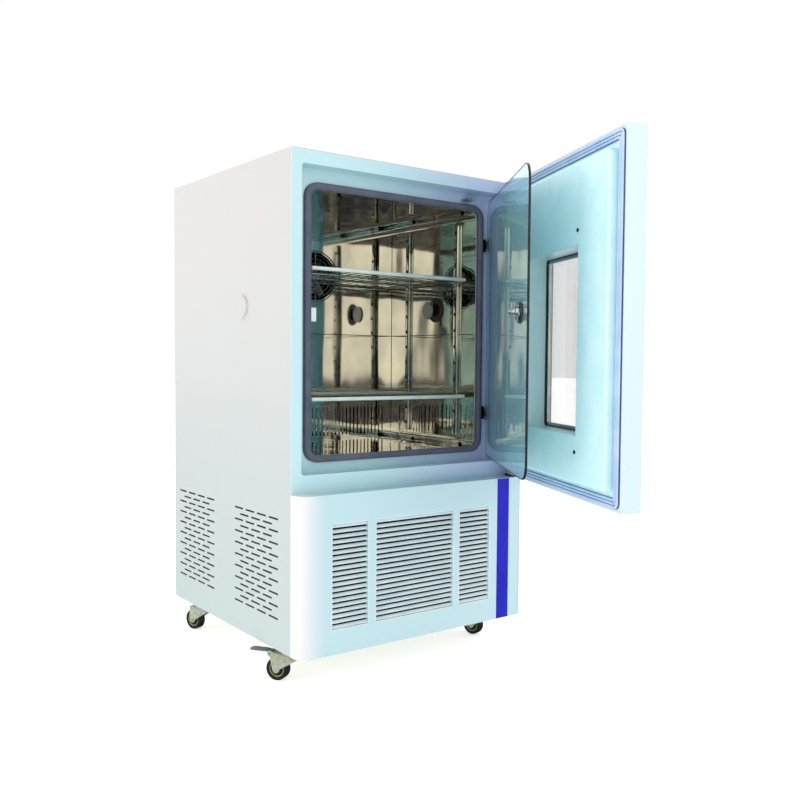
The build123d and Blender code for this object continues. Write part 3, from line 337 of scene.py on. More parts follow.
zinc = plated("zinc_plate_blue", "#cfdcd4", "#bdbf9a")
aluminium = polished_steel("bare_aluminium", "#b9bcbe", "#a5a8aa", 0.3, 0.45, 30, 0.1)
chrome = polished_steel("chrome_plate", "#d9dcde", "#c9ccce", 0.05, 0.12, 30, 0.1)
bar_steel, bar_tree, bar_shader = finish_of("satin_shelf_bar", "#e6f0ea", Metallic=0.35, Roughness=0.4)
two_tone(bar_tree, bar_shader, grain(bar_tree, 45), "#e6f0ea", "#d4e2dc")
relief(bar_tree, bar_shader, grain(bar_tree, 3), 0.04)
dark_steel = polished_steel("blackened_steel", "#3a3c40", "#2b2d31", 0.3, 0.45, 30, 0.1)
brass_hub = plated("yellow_passivated_hub", "#c2bd62", "#9aa65c", 12)
gasket_rubber = moulded("chamber_silicone_grey", "#5d6070", "#525668", 0.5)
seal_rubber = moulded("magnetic_seal_pvc", "#bcd2ee", "#aac6ea", 0.45)
# Dark as painted shade: the foot shows in the valleys between the ribs, where the pale seal lies in shade.
seal_foot_painted_shade = moulded("seal_foot_painted_shade", "#46506a", "#3c4660", 0.5)
liner_plastic = moulded("vacuum_formed_abs", "#d3f6fa", "#c9f1f8", 0.3, 1.2, 0.03)
grille_plastic = moulded("louvre_abs", "#dcecee", "#d0e2e6", 0.45)
black_plastic = moulded("black_abs", "#17181b", "#1f2023", 0.4)
white_plastic = moulded("white_abs", "#e8eef0", "#dfe8eb", 0.35)
grey_plastic = moulded("grey_nylon", "#6f7884", "#626b77", 0.45)
silicone = moulded("port_silicone", "#cbc8c6", "#c4c3c1", 0.55)
tyre = moulded("caster_rubber", "#15161a", "#1d1e22", 0.6)
foam = moulded("polyurethane_foam", "#d9c98a", "#c9b878", 0.9, 2.5, 0.3)
enamel = moulded("compressor_enamel", "#141416", "#1b1b1e", 0.25)
water_plastic = moulded("blow_moulded_pe", "#cbd8de", "#c0cfd6", 0.4)
blue_film = moulded("blue_vinyl_film", "#1414b4", "#1a1abe", 0.3)
# A dark sealant for the sheet joints; the same black is also painted shade in the upright holes.
seam_and_hole_shade_black = moulded("seam_sealant_and_hole_shade", "#1b1a16", "#26241e", 0.6)

pane_glass = finish_of("tempered_float_glass", "#bdebf4", Roughness=0.0, Transmission_Weight=0.8,
                       IOR=1.5)[0]
window_glass = finish_of("insulating_glass", "#fffcfb", Roughness=0.0, Transmission_Weight=1.0,
                         IOR=1.45)[0]
print("finishes made:", len(bpy.data.materials))

# %% [markdown]
# Every CAD node gets the finish of the real piece, also where a finer piece will stand in its place
# later: the solids then look right on their own, and nothing is left bare.

# %% Give every CAD node its finish
NODE_FINISH = {
    side_coat: ("left_side_panel", "right_side_panel", "top_panel", "back_panel", "port_sleeve"),
    front_coat_with_painted_highlight: ("lower_front_panel",),
    recess_coat_with_painted_shade: ("front_frame",),
    door_coat: ("door_shell",),
    liner_plastic: ("door_inner_panel",),
    mirror_steel: ("chamber_liner",),
    duct_steel: ("air_duct_panel", "shelf_uprights", "humidifier"),
    wire_steel: ("shelf_upper", "shelf_lower", "fan_guard", "heater", "humidity_probe",
                 "door_switch_plunger"),
    zinc: ("base_pan", "caster_mounts", "caster_fork_front_left", "caster_fork_front_right",
           "caster_fork_rear_left", "caster_fork_rear_right"),
    aluminium: ("evaporator", "condenser", "circulation_fan", "inlet_cover"),
    chrome: ("glass_hinge_clips", "latch_knob"),
    dark_steel: ("hinge_brackets",),
    gasket_rubber: ("chamber_gasket",),
    seal_rubber: ("door_gasket",),
    grille_plastic: ("louvre_grilles",),
    black_plastic: ("humidity_inlet", "condenser_fan", "power_switch", "rear_fittings"),
    white_plastic: ("latch_strike", "control_panel"),
    grey_plastic: ("fan_motor", "condenser_fan_motor", "door_handle", "key_set", "key_up", "key_down",
                   "brake_pedal_front_left", "brake_pedal_front_right"),
    silicone: ("port_plug",),
    tyre: ("caster_wheel_front_left", "caster_wheel_front_right", "caster_wheel_rear_left",
           "caster_wheel_rear_right"),
    foam: ("insulation", "door_core"),
    enamel: ("compressor",),
    water_plastic: ("water_tank",),
    pane_glass: ("glass_pane",),
    window_glass: ("window_panes",),
}


def dress(piece, material):
    """Puts one material on every slot of a piece."""
    if not piece.material_slots:
        piece.data.materials.append(material)
    for slot in piece.material_slots:
        slot.material = material


for material, names in NODE_FINISH.items():
    for name in names:
        dress(frame["nodes"][name], material)
print("dressed nodes:", sum(len(names) for names in NODE_FINISH.values()))

# %% [markdown]
# The studio floor is matt and almost white. It glows, so that it stays white out to where it meets the
# sky. In mirror reflections it is a pale and dark laboratory floor, because the chamber's ceiling
# mirrors it and would look blank without.

# %% Floor finish
FLOOR_WHITE, FLOOR_GLOW = linear("#fdfdfd"), 0.55
LAB_PALE, LAB_BLACK, LAB_CLUTTER_MM = linear("#cfc8b4"), linear("#050507"), 240
LAB_BLUE, LAB_BOX_MM = linear("#39405e"), 150

floor_matt, floor_tree, floor_shader = finish_of("studio_floor_matt", "#fdfdfd", Roughness=0.9)
floor_shader.inputs["Emission Color"].default_value = FLOOR_WHITE
floor_shader.inputs["Emission Strength"].default_value = FLOOR_GLOW
clutter = grain(floor_tree, LAB_CLUTTER_MM, 4.0)
tiles = add(floor_tree, "ShaderNodeMapRange", {"Value": clutter, "From Min": 0.52, "From Max": 0.56})
lab = add(floor_tree, "ShaderNodeMix",
          {"Factor": tiles.outputs["Result"], "A": LAB_BLACK, "B": LAB_PALE}, data_type="RGBA")
floor_place = add(floor_tree, "ShaderNodeTexCoord").outputs["Object"]
boxes = add(floor_tree, "ShaderNodeTexVoronoi", {"Vector": floor_place, "Scale": 1 / (LAB_BOX_MM * MM)})
some = add(floor_tree, "ShaderNodeSeparateColor", {"Color": boxes.outputs["Color"]}).outputs["Red"]
picked = add(floor_tree, "ShaderNodeMapRange", {"Value": some, "From Min": 0.6, "From Max": 0.64})
mixed = add(floor_tree, "ShaderNodeMix",
            {"Factor": picked.outputs["Result"], "A": lab.outputs["Result"], "B": LAB_BLUE},
            data_type="RGBA")
lab_floor = add(floor_tree, "ShaderNodeEmission", {"Color": mixed.outputs["Result"]})
floor_ray = add(floor_tree, "ShaderNodeLightPath")
in_mirror = add(floor_tree, "ShaderNodeMath",
                {0: floor_ray.outputs["Is Glossy Ray"], 1: floor_ray.outputs["Is Transmission Ray"]},
                operation="SUBTRACT")
in_mirror.use_clamp = True
shown = add(floor_tree, "ShaderNodeMixShader",
            {0: in_mirror.outputs[0], 1: floor_shader.outputs[0], 2: lab_floor.outputs[0]})
floor_output = next(node for node in floor_tree.nodes if node.type == "OUTPUT_MATERIAL")
floor_tree.links.new(shown.outputs[0], floor_output.inputs["Surface"])
dress(floor, floor_matt)
print("floor ready")

# %% [markdown]
# New pieces are modelled as by hand: a primitive at its size and place, then edit mode. An operator
# acts on whatever is selected, so each helper first deselects everything. The helpers take places in
# millimetres, as a drawing does, and leave each object at the origin with its place in its mesh.

# %% Modelling helpers
ALONG = {"X": (0, math.pi / 2, 0), "Y": (math.pi / 2, 0, 0), "Z": (0, 0, 0)}


def only(piece):
    """Selects one piece alone and makes it active."""
    bpy.ops.object.select_all(action="DESELECT")
    piece.select_set(True)
    bpy.context.view_layer.objects.active = piece


def fix_place(piece):
    """Moves a piece's place, turn and size into its mesh."""
    only(piece)
    bpy.ops.object.transform_apply(location=True, rotation=True, scale=True)
    return piece


def block(name, low, high):
    """A box between two corners in millimetres."""
    bpy.ops.object.select_all(action="DESELECT")
    low, high = Vector(low) * MM, Vector(high) * MM
    bpy.ops.mesh.primitive_cube_add(size=1, location=(low + high) / 2)
    piece = bpy.context.object
    piece.name, piece.scale = name, high - low
    return fix_place(piece)


def rod(name, centre, radius, length, along="Z", sides=32):
    """A round bar of a length along one axis, its middle at a place in millimetres."""
    bpy.ops.object.select_all(action="DESELECT")
    bpy.ops.mesh.primitive_cylinder_add(vertices=sides, radius=radius * MM, depth=length * MM,
                                        location=Vector(centre) * MM, rotation=ALONG[along])
    bpy.context.object.name = name
    return fix_place(bpy.context.object)


def edit(piece, kind, wanted):
    """Opens edit mode with only those corners, edges or faces selected that a test accepts."""
    only(piece)
    bpy.ops.object.mode_set(mode="EDIT")
    bpy.ops.mesh.select_mode(type=kind)
    bpy.ops.mesh.select_all(action="DESELECT")
    mesh = bmesh.from_edit_mesh(piece.data)
    for part in {"VERT": mesh.verts, "EDGE": mesh.edges, "FACE": mesh.faces}[kind]:
        if wanted(part):
            part.select_set(True)
    bmesh.update_edit_mesh(piece.data)


def close_edit():
    """Leaves edit mode."""
    bpy.ops.object.mode_set(mode="OBJECT")


def round_edges(piece, radius, segments=2, sharper_than=30):
    """Rounds every edge sharper than an angle by a radius in millimetres."""
    only(piece)
    rounding = piece.modifiers.new("rounded_edges", "BEVEL")
    rounding.width, rounding.segments = radius * MM, segments
    rounding.limit_method, rounding.angle_limit = "ANGLE", math.radians(sharper_than)
    bpy.ops.object.modifier_apply(modifier=rounding.name)
    return piece


def join(name, pieces):
    """Joins several pieces into one mesh."""
    bpy.ops.object.select_all(action="DESELECT")
    for piece in pieces:
        piece.select_set(True)
    bpy.context.view_layer.objects.active = pieces[0]
    bpy.ops.object.join()
    pieces[0].name = name
    return pieces[0]


def copied_to(piece, offsets):
    """Copies of a piece, each with its own mesh, moved by offsets in millimetres. The first model goes."""
    made = []
    for offset in offsets:
        twin = piece.copy()
        twin.data = piece.data.copy()
        twin.data.transform(Matrix.Translation(Vector(offset) * MM))
        bpy.context.collection.objects.link(twin)
        made.append(twin)
    bpy.data.objects.remove(piece)
    return made


def settle(piece, material, body, slot, *nodes, smooth=35):
    """Finishes a piece: smooth shading, material, the body it rides on, and hides the nodes it replaces. The
    slot argument is not used.
    """
    only(piece)
    bpy.ops.object.shade_smooth_by_angle(angle=math.radians(smooth))
    dress(piece, material)
    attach(piece, body)
    if nodes:
        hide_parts(*nodes)
    print(piece.name, "rides on", body)
    return piece


print("modelling helpers ready")

# %% [markdown]
# Both doors stand open, but a door is easier to model shut, with straight axes. So the pieces of a
# door are modelled where they lie on the shut door and then swung about its hinge, whose place and
# angle come from the frame's joint.

# %% Doors: shut coordinates


def swing(joint_name):
    """The turn about a door's hinge, from shut to where the door stands at rest."""
    joint = JOINTS[joint_name]
    hinge = Vector(joint["pos_m"])
    turn = Matrix.Rotation(math.radians(-joint["range_deg"][0]), 4, "Z")
    return Matrix.Translation(hinge) @ turn @ Matrix.Translation(-hinge)


def swung(piece, joint_name):
    """A piece modelled on a shut door, swung open with it."""
    piece.data.transform(swing(joint_name))
    return piece


def span(node):
    """Lowest and highest corner of a CAD node in millimetres."""
    low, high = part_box(node)
    return Vector(low) / MM, Vector(high) / MM


def shut_span(node, joint_name):
    """Lowest and highest corner in millimetres of a door's node, as it lies on the shut door."""
    back = swing(joint_name).inverted()
    corners = [back @ vertex.co for vertex in frame["nodes"][node].data.vertices]
    low = Vector([min(corner[axis] for corner in corners) for axis in range(3)])
    high = Vector([max(corner[axis] for corner in corners) for axis in range(3)])
    return low / MM, high / MM


OUTER, GLASS = "outer_door_swing", "glass_door_swing"
print("shut outer door spans", shut_span("door_shell", OUTER))

# %% [markdown]
# Gaskets, seals and trims all follow a rounded rectangle. Three helpers share that outline: a flat
# sheet, a frame cut out of it and given depth, and a tube along its edge. The tube is swept by turning
# the outline into a curve with a round section, which is quicker and cleaner than bending a cylinder.

# %% Rounded frames and tubes
CORNER_STEPS = 12


def rounded_sheet(name, low, high, corner, y):
    """A flat sheet facing the front with four round corners; low and high are its (x, z) corners."""
    bpy.ops.object.select_all(action="DESELECT")
    centre = Vector(((low[0] + high[0]) / 2, y, (low[1] + high[1]) / 2)) * MM
    bpy.ops.mesh.primitive_plane_add(size=1, location=centre, rotation=(math.pi / 2, 0, 0))
    piece = bpy.context.object
    piece.name, piece.scale = name, ((high[0] - low[0]) * MM, (high[1] - low[1]) * MM, 1)
    fix_place(piece)
    edit(piece, "VERT", lambda corner_point: True)
    bpy.ops.mesh.bevel(offset=corner * MM, segments=CORNER_STEPS, affect="VERTICES")
    close_edit()
    return piece


def band(name, low, high, corner, width, y0, y1):
    """A rounded frame of a width, from depth y0 to y1. A width for each direction may be given."""
    wide, tall = width if isinstance(width, tuple) else (width, width)
    inset = min(wide, tall)
    piece = rounded_sheet(name, low, high, corner, y0)
    edit(piece, "FACE", lambda face: True)
    bpy.ops.mesh.inset(thickness=inset * MM)
    size_x, size_z = high[0] - low[0], high[1] - low[1]
    shrink = ((size_x - 2 * wide) / (size_x - 2 * inset), 1, (size_z - 2 * tall) / (size_z - 2 * inset))
    middle = Vector(((low[0] + high[0]) / 2, y0, (low[1] + high[1]) / 2)) * MM
    bpy.ops.transform.resize(value=shrink, center_override=middle)
    bpy.ops.mesh.delete(type="FACE")
    bpy.ops.mesh.select_all(action="SELECT")
    bpy.ops.mesh.extrude_region_move(TRANSFORM_OT_translate={"value": (0, (y1 - y0) * MM, 0)})
    bpy.ops.mesh.select_all(action="SELECT")
    bpy.ops.mesh.normals_make_consistent(inside=False)
    close_edit()
    return piece


def tube_loop(name, low, high, corner, y, radius, flat=1.0):
    """A tube along a rounded rectangle at depth y, flattened in depth if asked."""
    piece = rounded_sheet(name, low, high, corner, y)
    edit(piece, "FACE", lambda face: True)
    bpy.ops.mesh.delete(type="ONLY_FACE")
    close_edit()
    only(piece)
    bpy.ops.object.convert(target="CURVE")
    path = bpy.context.object
    path.data.fill_mode = "FULL"
    path.data.bevel_depth = radius * MM
    path.data.bevel_resolution = 3
    bpy.ops.object.convert(target="MESH")
    piece = bpy.context.object
    edit(piece, "VERT", lambda point: True)
    bpy.ops.transform.resize(value=(1, flat, 1), center_override=(0, y * MM, 0))
    bpy.ops.mesh.normals_make_consistent(inside=False)
    close_edit()
    return piece


print("round corners have", CORNER_STEPS, "steps")

# %% [markdown]
# The chamber gasket is an extruded silicone bulb that the glass door presses flat. A box section would
# look hard, so a rounded tube follows the mouth of the chamber, over a thin foot that holds it.

# %% Chamber gasket
SIDE_WIDTH, FOOT, BULB, MOUTH_CORNER, CHAMBER_HEIGHT = 21, 4, 9.2, 38, 680
low, high = span("chamber_gasket")
gasket_top = (high.z - low.z - CHAMBER_HEIGHT) / 2
foot = band("gasket_foot", (low.x, low.z), (high.x, high.z), MOUTH_CORNER, (SIDE_WIDTH, gasket_top),
            high.y, high.y - FOOT)
inset_x, inset_z = SIDE_WIDTH / 2, gasket_top / 2
bulb_flat = (high.y - low.y - FOOT + 2) / 2 / BULB
bulb = tube_loop("gasket_bulb", (low.x + inset_x, low.z + inset_z), (high.x - inset_x, high.z - inset_z),
                 MOUTH_CORNER - inset_z, low.y + BULB * bulb_flat, BULB, bulb_flat)
settle(join("chamber_gasket_bulb", [foot, bulb]), gasket_rubber, "cabinet", "chamber_rubber",
       "chamber_gasket")

# %% [markdown]
# The magnetic seal of the outer door is a soft PVC strip with three ribs. The two valleys between them
# read as the thin dark lines round the inside of the door: the foot under the ribs is dark, painted shade in
# the valleys of a pale seal.

# %% Magnetic door seal
low, high = shut_span("door_gasket", OUTER)
SEAL_WIDTH, SEAL_FOOT, SEAL_RIBS, SEAL_CORNER = 22, 3.4, 3, 16
seal_foot = band("door_seal_foot", (low.x, low.z), (high.x, high.z), SEAL_CORNER, SEAL_WIDTH,
                 low.y, low.y + SEAL_FOOT)
settle(swung(seal_foot, OUTER), seal_foot_painted_shade, "outer_door", "seal_rubber")
pieces = []
rib = SEAL_WIDTH / SEAL_RIBS / 2
RIB_FILL, RIB_CORNER = 0.84, 3
for number in range(SEAL_RIBS):
    in_by = rib * (2 * number + 1)
    pieces.append(tube_loop("seal_rib", (low.x + in_by, low.z + in_by), (high.x - in_by, high.z - in_by),
                            max(SEAL_CORNER - in_by, RIB_CORNER), high.y - rib, rib * RIB_FILL))
settle(swung(join("door_magnetic_seal", pieces), OUTER), seal_rubber, "outer_door", "seal_rubber",
       "door_gasket")

# %% [markdown]
# The door's window is two panes with an aluminium spacer between them. A moulded sleeve lines the hole
# through the foam, and a black glazing bead holds the inner pane. Without the sleeve the foam would show.

# %% Window of the outer door
pane_low, pane_high = shut_span("window_panes", OUTER)
inner_high = shut_span("door_inner_panel", OUTER)[1]
GLASS_SHEET, WINDOW_CORNER, CLEAR, SLEEVE, BEAD, SPACER = 4, 12, 0.3, 2, 1.5, 8
TRIM_REACH, TRIM_WIDTH, TRIM_PROUD = 4, 14, 1.6
window_low, window_high = (-178, 659), (155, 1109)
inner_pane_y = pane_high.y


def grown(corner, by):
    """An (x, z) corner moved up and to the right by a length."""
    return corner[0] + by, corner[1] + by


sleeve = band("window_sleeve", grown(window_low, CLEAR), grown(window_high, -CLEAR), WINDOW_CORNER, SLEEVE,
              inner_high.y - 0.4, inner_pane_y + CLEAR)
settle(swung(sleeve, OUTER), liner_plastic, "outer_door", "door_liner_plastic")
bead = tube_loop("window_bead", grown(window_low, BEAD + SLEEVE), grown(window_high, -BEAD - SLEEVE),
                 WINDOW_CORNER - 3, inner_pane_y + BEAD, BEAD)
settle(swung(bead, OUTER), black_plastic, "outer_door", "black_plastic")
spacer = band("window_spacer", grown(window_low, 4), grown(window_high, -4), WINDOW_CORNER - 2, SPACER,
              inner_pane_y - GLASS_SHEET - CLEAR, pane_low.y + GLASS_SHEET + CLEAR)
settle(swung(spacer, OUTER), aluminium, "outer_door", "coil_aluminium")
shell_low = shut_span("door_shell", OUTER)[0]
trim = band("window_outer_trim", grown(window_low, -TRIM_REACH), grown(window_high, TRIM_REACH),
            WINDOW_CORNER, TRIM_WIDTH, shell_low.y, shell_low.y - TRIM_PROUD)
settle(swung(round_edges(trim, 0.6), OUTER), grey_plastic, "outer_door", "grey_plastic")

# %% [markdown]
# Two screws hold the formed panel to the door's frame. Each is a low disc with a recess for the driver,
# made by an inset of its face that is then pushed in.

# %% Screws of the inner panel
STUD_X, STUD_HEIGHTS, STUD_RADIUS, STUD_PROUD = -174, (1144, 621), 4.6, 2.4
stud = rod("stud", (STUD_X, inner_high.y + STUD_PROUD / 2, 0), STUD_RADIUS, STUD_PROUD, "Y", 20)
edit(stud, "FACE", lambda face: face.normal.y > 0.9)
bpy.ops.mesh.inset(thickness=1.6 * MM)
bpy.ops.mesh.extrude_region_move(TRANSFORM_OT_translate={"value": (0, -1.2 * MM, 0)})
close_edit()
studs = join("inner_panel_studs", copied_to(round_edges(stud, 0.4), [(0, 0, z) for z in STUD_HEIGHTS]))
settle(swung(studs, OUTER), dark_steel, "outer_door", "zinc")

# %% [markdown]
# The blue stripe is a strip of vinyl film on the lower cover. A film has almost no thickness, but it
# still needs some, or it would flicker in the paint: 0.4 mm with a rounded edge is enough.

# %% Blue stripe
cover_low, cover_high = span("lower_front_panel")
STRIPE_LEFT, STRIPE_RIGHT, FILM = 263, 307, 0.4
stripe = block("blue_stripe", (STRIPE_LEFT, cover_low.y - FILM, cover_low.z + 0.5),
               (STRIPE_RIGHT, cover_low.y + 0.05, cover_high.z - 1))
settle(round_edges(stripe, 0.15, 1), blue_film, "cabinet", "front_paint")

# %% [markdown]
# A tempered pane looks clear on its face and almost black along its ground edge, because the edge
# shows the whole width of the glass at once. The edge is a thin dark frame round the pane.

# %% Edge of the glass door
pane_low, pane_high = shut_span("glass_pane", GLASS)
PANE_CORNER, EDGE_WIDTH, EDGE_PROUD = 45, 2.6, 0.25
edge = band("glass_ground_edge", (pane_low.x - EDGE_PROUD, pane_low.z - EDGE_PROUD),
            (pane_high.x + EDGE_PROUD, pane_high.z + EDGE_PROUD), PANE_CORNER, EDGE_WIDTH,
            pane_high.y + EDGE_PROUD / 2, pane_low.y - EDGE_PROUD)
settle(swung(edge, GLASS), black_plastic, "glass_door", "black_plastic")

# %% [markdown]
# The glass hangs on two clips. Each turns on a dark knuckle between two bright pin collars, and is
# clamped to the pane by screws with a recessed head. All three are turned parts, so each starts as a
# cylinder, is modelled once and copied. An inset of the end, pushed out or in, gives the pin and the recess.

# %% Hinge knuckles and clip screws
hinge_x, hinge_y = JOINTS[GLASS]["pos_m"][0] / MM, JOINTS[GLASS]["pos_m"][1] / MM
CLIP_HEIGHTS, CLIP_FRONT, CLIP_SCREWS_X, CLIP_SCREW_RISE = (1171, 682), pane_low.y - 3, (247, 264), 13
COLLAR_RISE = 15
knuckle = rod("knuckle", (hinge_x, hinge_y, 0), 5.6, 22, "Z", 24)
knuckles = join("hinge_knuckles", copied_to(round_edges(knuckle, 0.8), [(0, 0, z) for z in CLIP_HEIGHTS]))
settle(swung(knuckles, GLASS), dark_steel, "glass_door", "chrome_trim")
collar = rod("collar", (hinge_x, hinge_y, 0), 5.5, 6.6, "Z", 24)
edit(collar, "FACE", lambda face: abs(face.normal.z) > 0.9)
bpy.ops.mesh.inset(thickness=2.2 * MM)
bpy.ops.mesh.extrude_region_shrink_fatten(TRANSFORM_OT_shrink_fatten={"value": 1.2 * MM})
close_edit()
collar_places = [(0, 0, z + rise) for z in CLIP_HEIGHTS for rise in (-COLLAR_RISE, COLLAR_RISE)]
collars = join("hinge_pin_collars", copied_to(round_edges(collar, 0.6), collar_places))
settle(collars, chrome, "cabinet", "chrome_trim")
screw = rod("clip_screw", (0, CLIP_FRONT - 0.8, 0), 3.6, 1.8, "Y", 20)
edit(screw, "FACE", lambda face: face.normal.y < -0.9)
bpy.ops.mesh.inset(thickness=1.8 * MM)
bpy.ops.mesh.extrude_region_move(TRANSFORM_OT_translate={"value": (0, 1.0 * MM, 0)})
close_edit()
screw_places = [(x, 0, z + rise) for x in CLIP_SCREWS_X for z in CLIP_HEIGHTS
                for rise in (-CLIP_SCREW_RISE, CLIP_SCREW_RISE)]
screws = join("clip_screws", copied_to(round_edges(screw, 0.5), screw_places))
settle(swung(screws, GLASS), chrome, "glass_door", "chrome_trim")

# %% [markdown]
# The latch goes through the pane. Outside sits a black knob, and inside a chromed hub with four lobes
# turns the cam that catches the strike. The lobes are drawn out of the rim of a cylinder,
# because that keeps the hub one clean shell.

# %% Latch knob
KNOB_X, KNOB_Z, KNOB_RADIUS, KNOB_DEPTH, KNOB_DISH = -250, 949, 22, 11.5, 3
WASHER, WASHER_SHEET, HUB, HUB_DEPTH, LOBE, LOBE_ANGLE, SPINDLE_REACH = 25, 3, 12, 10, 5, 30, 29
CAM_SHEET, CAM_HALF, CAM_BELOW, CAM_ABOVE = 3, 6, 8, 23
knob_front = pane_low.y - CLEAR - KNOB_DEPTH
knob = rod("knob", (KNOB_X, knob_front + KNOB_DEPTH / 2, KNOB_Z), KNOB_RADIUS, KNOB_DEPTH, "Y", 48)
edit(knob, "FACE", lambda face: face.normal.y < -0.9)
bpy.ops.mesh.inset(thickness=5 * MM)
bpy.ops.mesh.extrude_region_move(TRANSFORM_OT_translate={"value": (0, KNOB_DISH * MM, 0)})
close_edit()
round_edges(knob, 1.4, 3)
washer = rod("washer", (KNOB_X, pane_high.y + CLEAR + WASHER_SHEET / 2, KNOB_Z), WASHER, WASHER_SHEET,
             "Y", 48)
round_edges(washer, 1.2, 3)
knob_black = join("latch_knob_grip", [knob, washer])
settle(swung(knob_black, GLASS), black_plastic, "latch_knob", "black_plastic", "latch_knob")

hub = rod("hub", (KNOB_X, pane_high.y + WASHER_SHEET + HUB_DEPTH / 2, KNOB_Z), HUB, HUB_DEPTH, "Y", 24)


def on_a_lobe(face):
    """True for the rim faces in the first third of each quarter turn, so that four lobes stand out."""
    middle = face.calc_center_median()
    turn = math.degrees(math.atan2(middle.z - KNOB_Z * MM, middle.x - KNOB_X * MM)) % 90
    return abs(face.normal.y) < 0.1 and turn < LOBE_ANGLE


edit(hub, "FACE", on_a_lobe)
bpy.ops.mesh.extrude_region_shrink_fatten(TRANSFORM_OT_shrink_fatten={"value": LOBE * MM})
close_edit()
round_edges(hub, 1.0, 2)
spindle_front, spindle_back = knob_front + KNOB_DISH, pane_high.y + SPINDLE_REACH
spindle = rod("spindle", (KNOB_X, (spindle_front + spindle_back) / 2, KNOB_Z), 5,
              spindle_back - spindle_front, "Y", 24)
round_edges(spindle, 1.2, 2)
nut = rod("nut", (KNOB_X, pane_high.y + WASHER_SHEET + HUB_DEPTH + 3, KNOB_Z), 8, 6, "Y", 6)
round_edges(nut, 0.6, 2)
cam_back = shut_span("latch_knob", GLASS)[1].y - CAM_SHEET
cam = block("cam", (KNOB_X - CAM_HALF, cam_back - CAM_SHEET, KNOB_Z - CAM_BELOW),
            (KNOB_X + CAM_HALF, cam_back, KNOB_Z + CAM_ABOVE))
round_edges(cam, 1.2, 2)
cap = rod("cap", (KNOB_X, knob_front + 2.4, KNOB_Z), 15, 2, "Y", 40)
round_edges(cap, 0.8, 2)
settle(swung(join("latch_knob_chrome", [hub, spindle, nut, cam, cap]), GLASS), chrome, "latch_knob",
       "chrome_trim")

# %% [markdown]
# A shelf is welded from round wire: rails along the sides and across, and thin wires from front to back
# that lie on them. Its front bar is deeper and satin, and it catches more light than the wires. Each
# wire is one cylinder with rounded ends, copied.

# %% Wire shelves
BAR, RAIL, WIRE, WIRES = 10, 6, 3, 17


def wire_shelf(name):
    """A wire shelf in the place of its CAD node, riding on the body of the same name."""
    low, high = span(name)
    middle = (low + high) / 2
    bar = block("bar", (low.x, low.y, low.z), (high.x, low.y + BAR, low.z + BAR))
    round_edges(bar, 2.2, 3)
    bar.name = name + "_front_bar"
    settle(bar, bar_steel, name, "wire_steel")
    pieces = []
    for x in (low.x + RAIL / 2, high.x - RAIL / 2):
        pieces.append(rod("rail", (x, middle.y, low.z + RAIL / 2), RAIL / 2, high.y - low.y - BAR, "Y", 16))
    for share in (1 / 3, 2 / 3, 1):
        y = low.y + share * (high.y - low.y) - RAIL / 2
        pieces.append(rod("cross_rail", (middle.x, y, low.z + RAIL / 2), RAIL / 2, high.x - low.x, "X", 16))
    wire = rod("wire", (low.x + WIRE / 2, middle.y + BAR / 4, low.z + RAIL + WIRE / 2), WIRE / 2,
               high.y - low.y - BAR / 2, "Y", 10)
    round_edges(wire, 0.7, 2, 60)
    pitch = (high.x - low.x - WIRE) / (WIRES - 1)
    pieces += copied_to(wire, [(pitch * number, 0, 0) for number in range(WIRES)])
    return settle(join(name + "_wires", pieces), wire_steel, name, "wire_steel", name)


wire_shelf("shelf_upper")
wire_shelf("shelf_lower")

# %% [markdown]
# The fan guard is a set of wire rings on spokes. A torus is one ring, and the rings lie on the spokes
# with a weld where they cross, so they sit a wire's thickness in front of them.

# %% Fan guard
low, high = span("fan_guard")
guard_middle = (low + high) / 2
GUARD_RINGS, GUARD_WIRE, SPOKES = (77.5, 65, 52.5, 40, 27.5, 14), 1.5, 6
pieces = []
for radius in GUARD_RINGS:
    bpy.ops.object.select_all(action="DESELECT")
    ring_place = Vector((guard_middle.x, low.y + GUARD_WIRE, guard_middle.z)) * MM
    bpy.ops.mesh.primitive_torus_add(major_radius=radius * MM, minor_radius=GUARD_WIRE * MM,
                                     major_segments=56, minor_segments=8, rotation=ALONG["Y"],
                                     location=ring_place)
    pieces.append(fix_place(bpy.context.object))
reach = GUARD_RINGS[0] - GUARD_RINGS[-1]
for number in range(SPOKES):
    spoke = rod("spoke", (0, 0, GUARD_RINGS[-1] + reach / 2), GUARD_WIRE, reach, "Z", 10)
    turn = Matrix.Rotation(math.radians(360 / SPOKES * number), 4, "Y")
    place = Matrix.Translation(Vector((guard_middle.x, high.y - GUARD_WIRE, guard_middle.z)) * MM)
    spoke.data.transform(place @ turn)
    pieces.append(spoke)
settle(join("fan_guard_rings", pieces), guard_steel, "cabinet", "wire_steel", "fan_guard")

# %% [markdown]
# The chamber is welded from several sheets. Where two meet, the eye sees a thin dark line. Each joint is
# a narrow dark strip that stands a third of a millimetre proud.

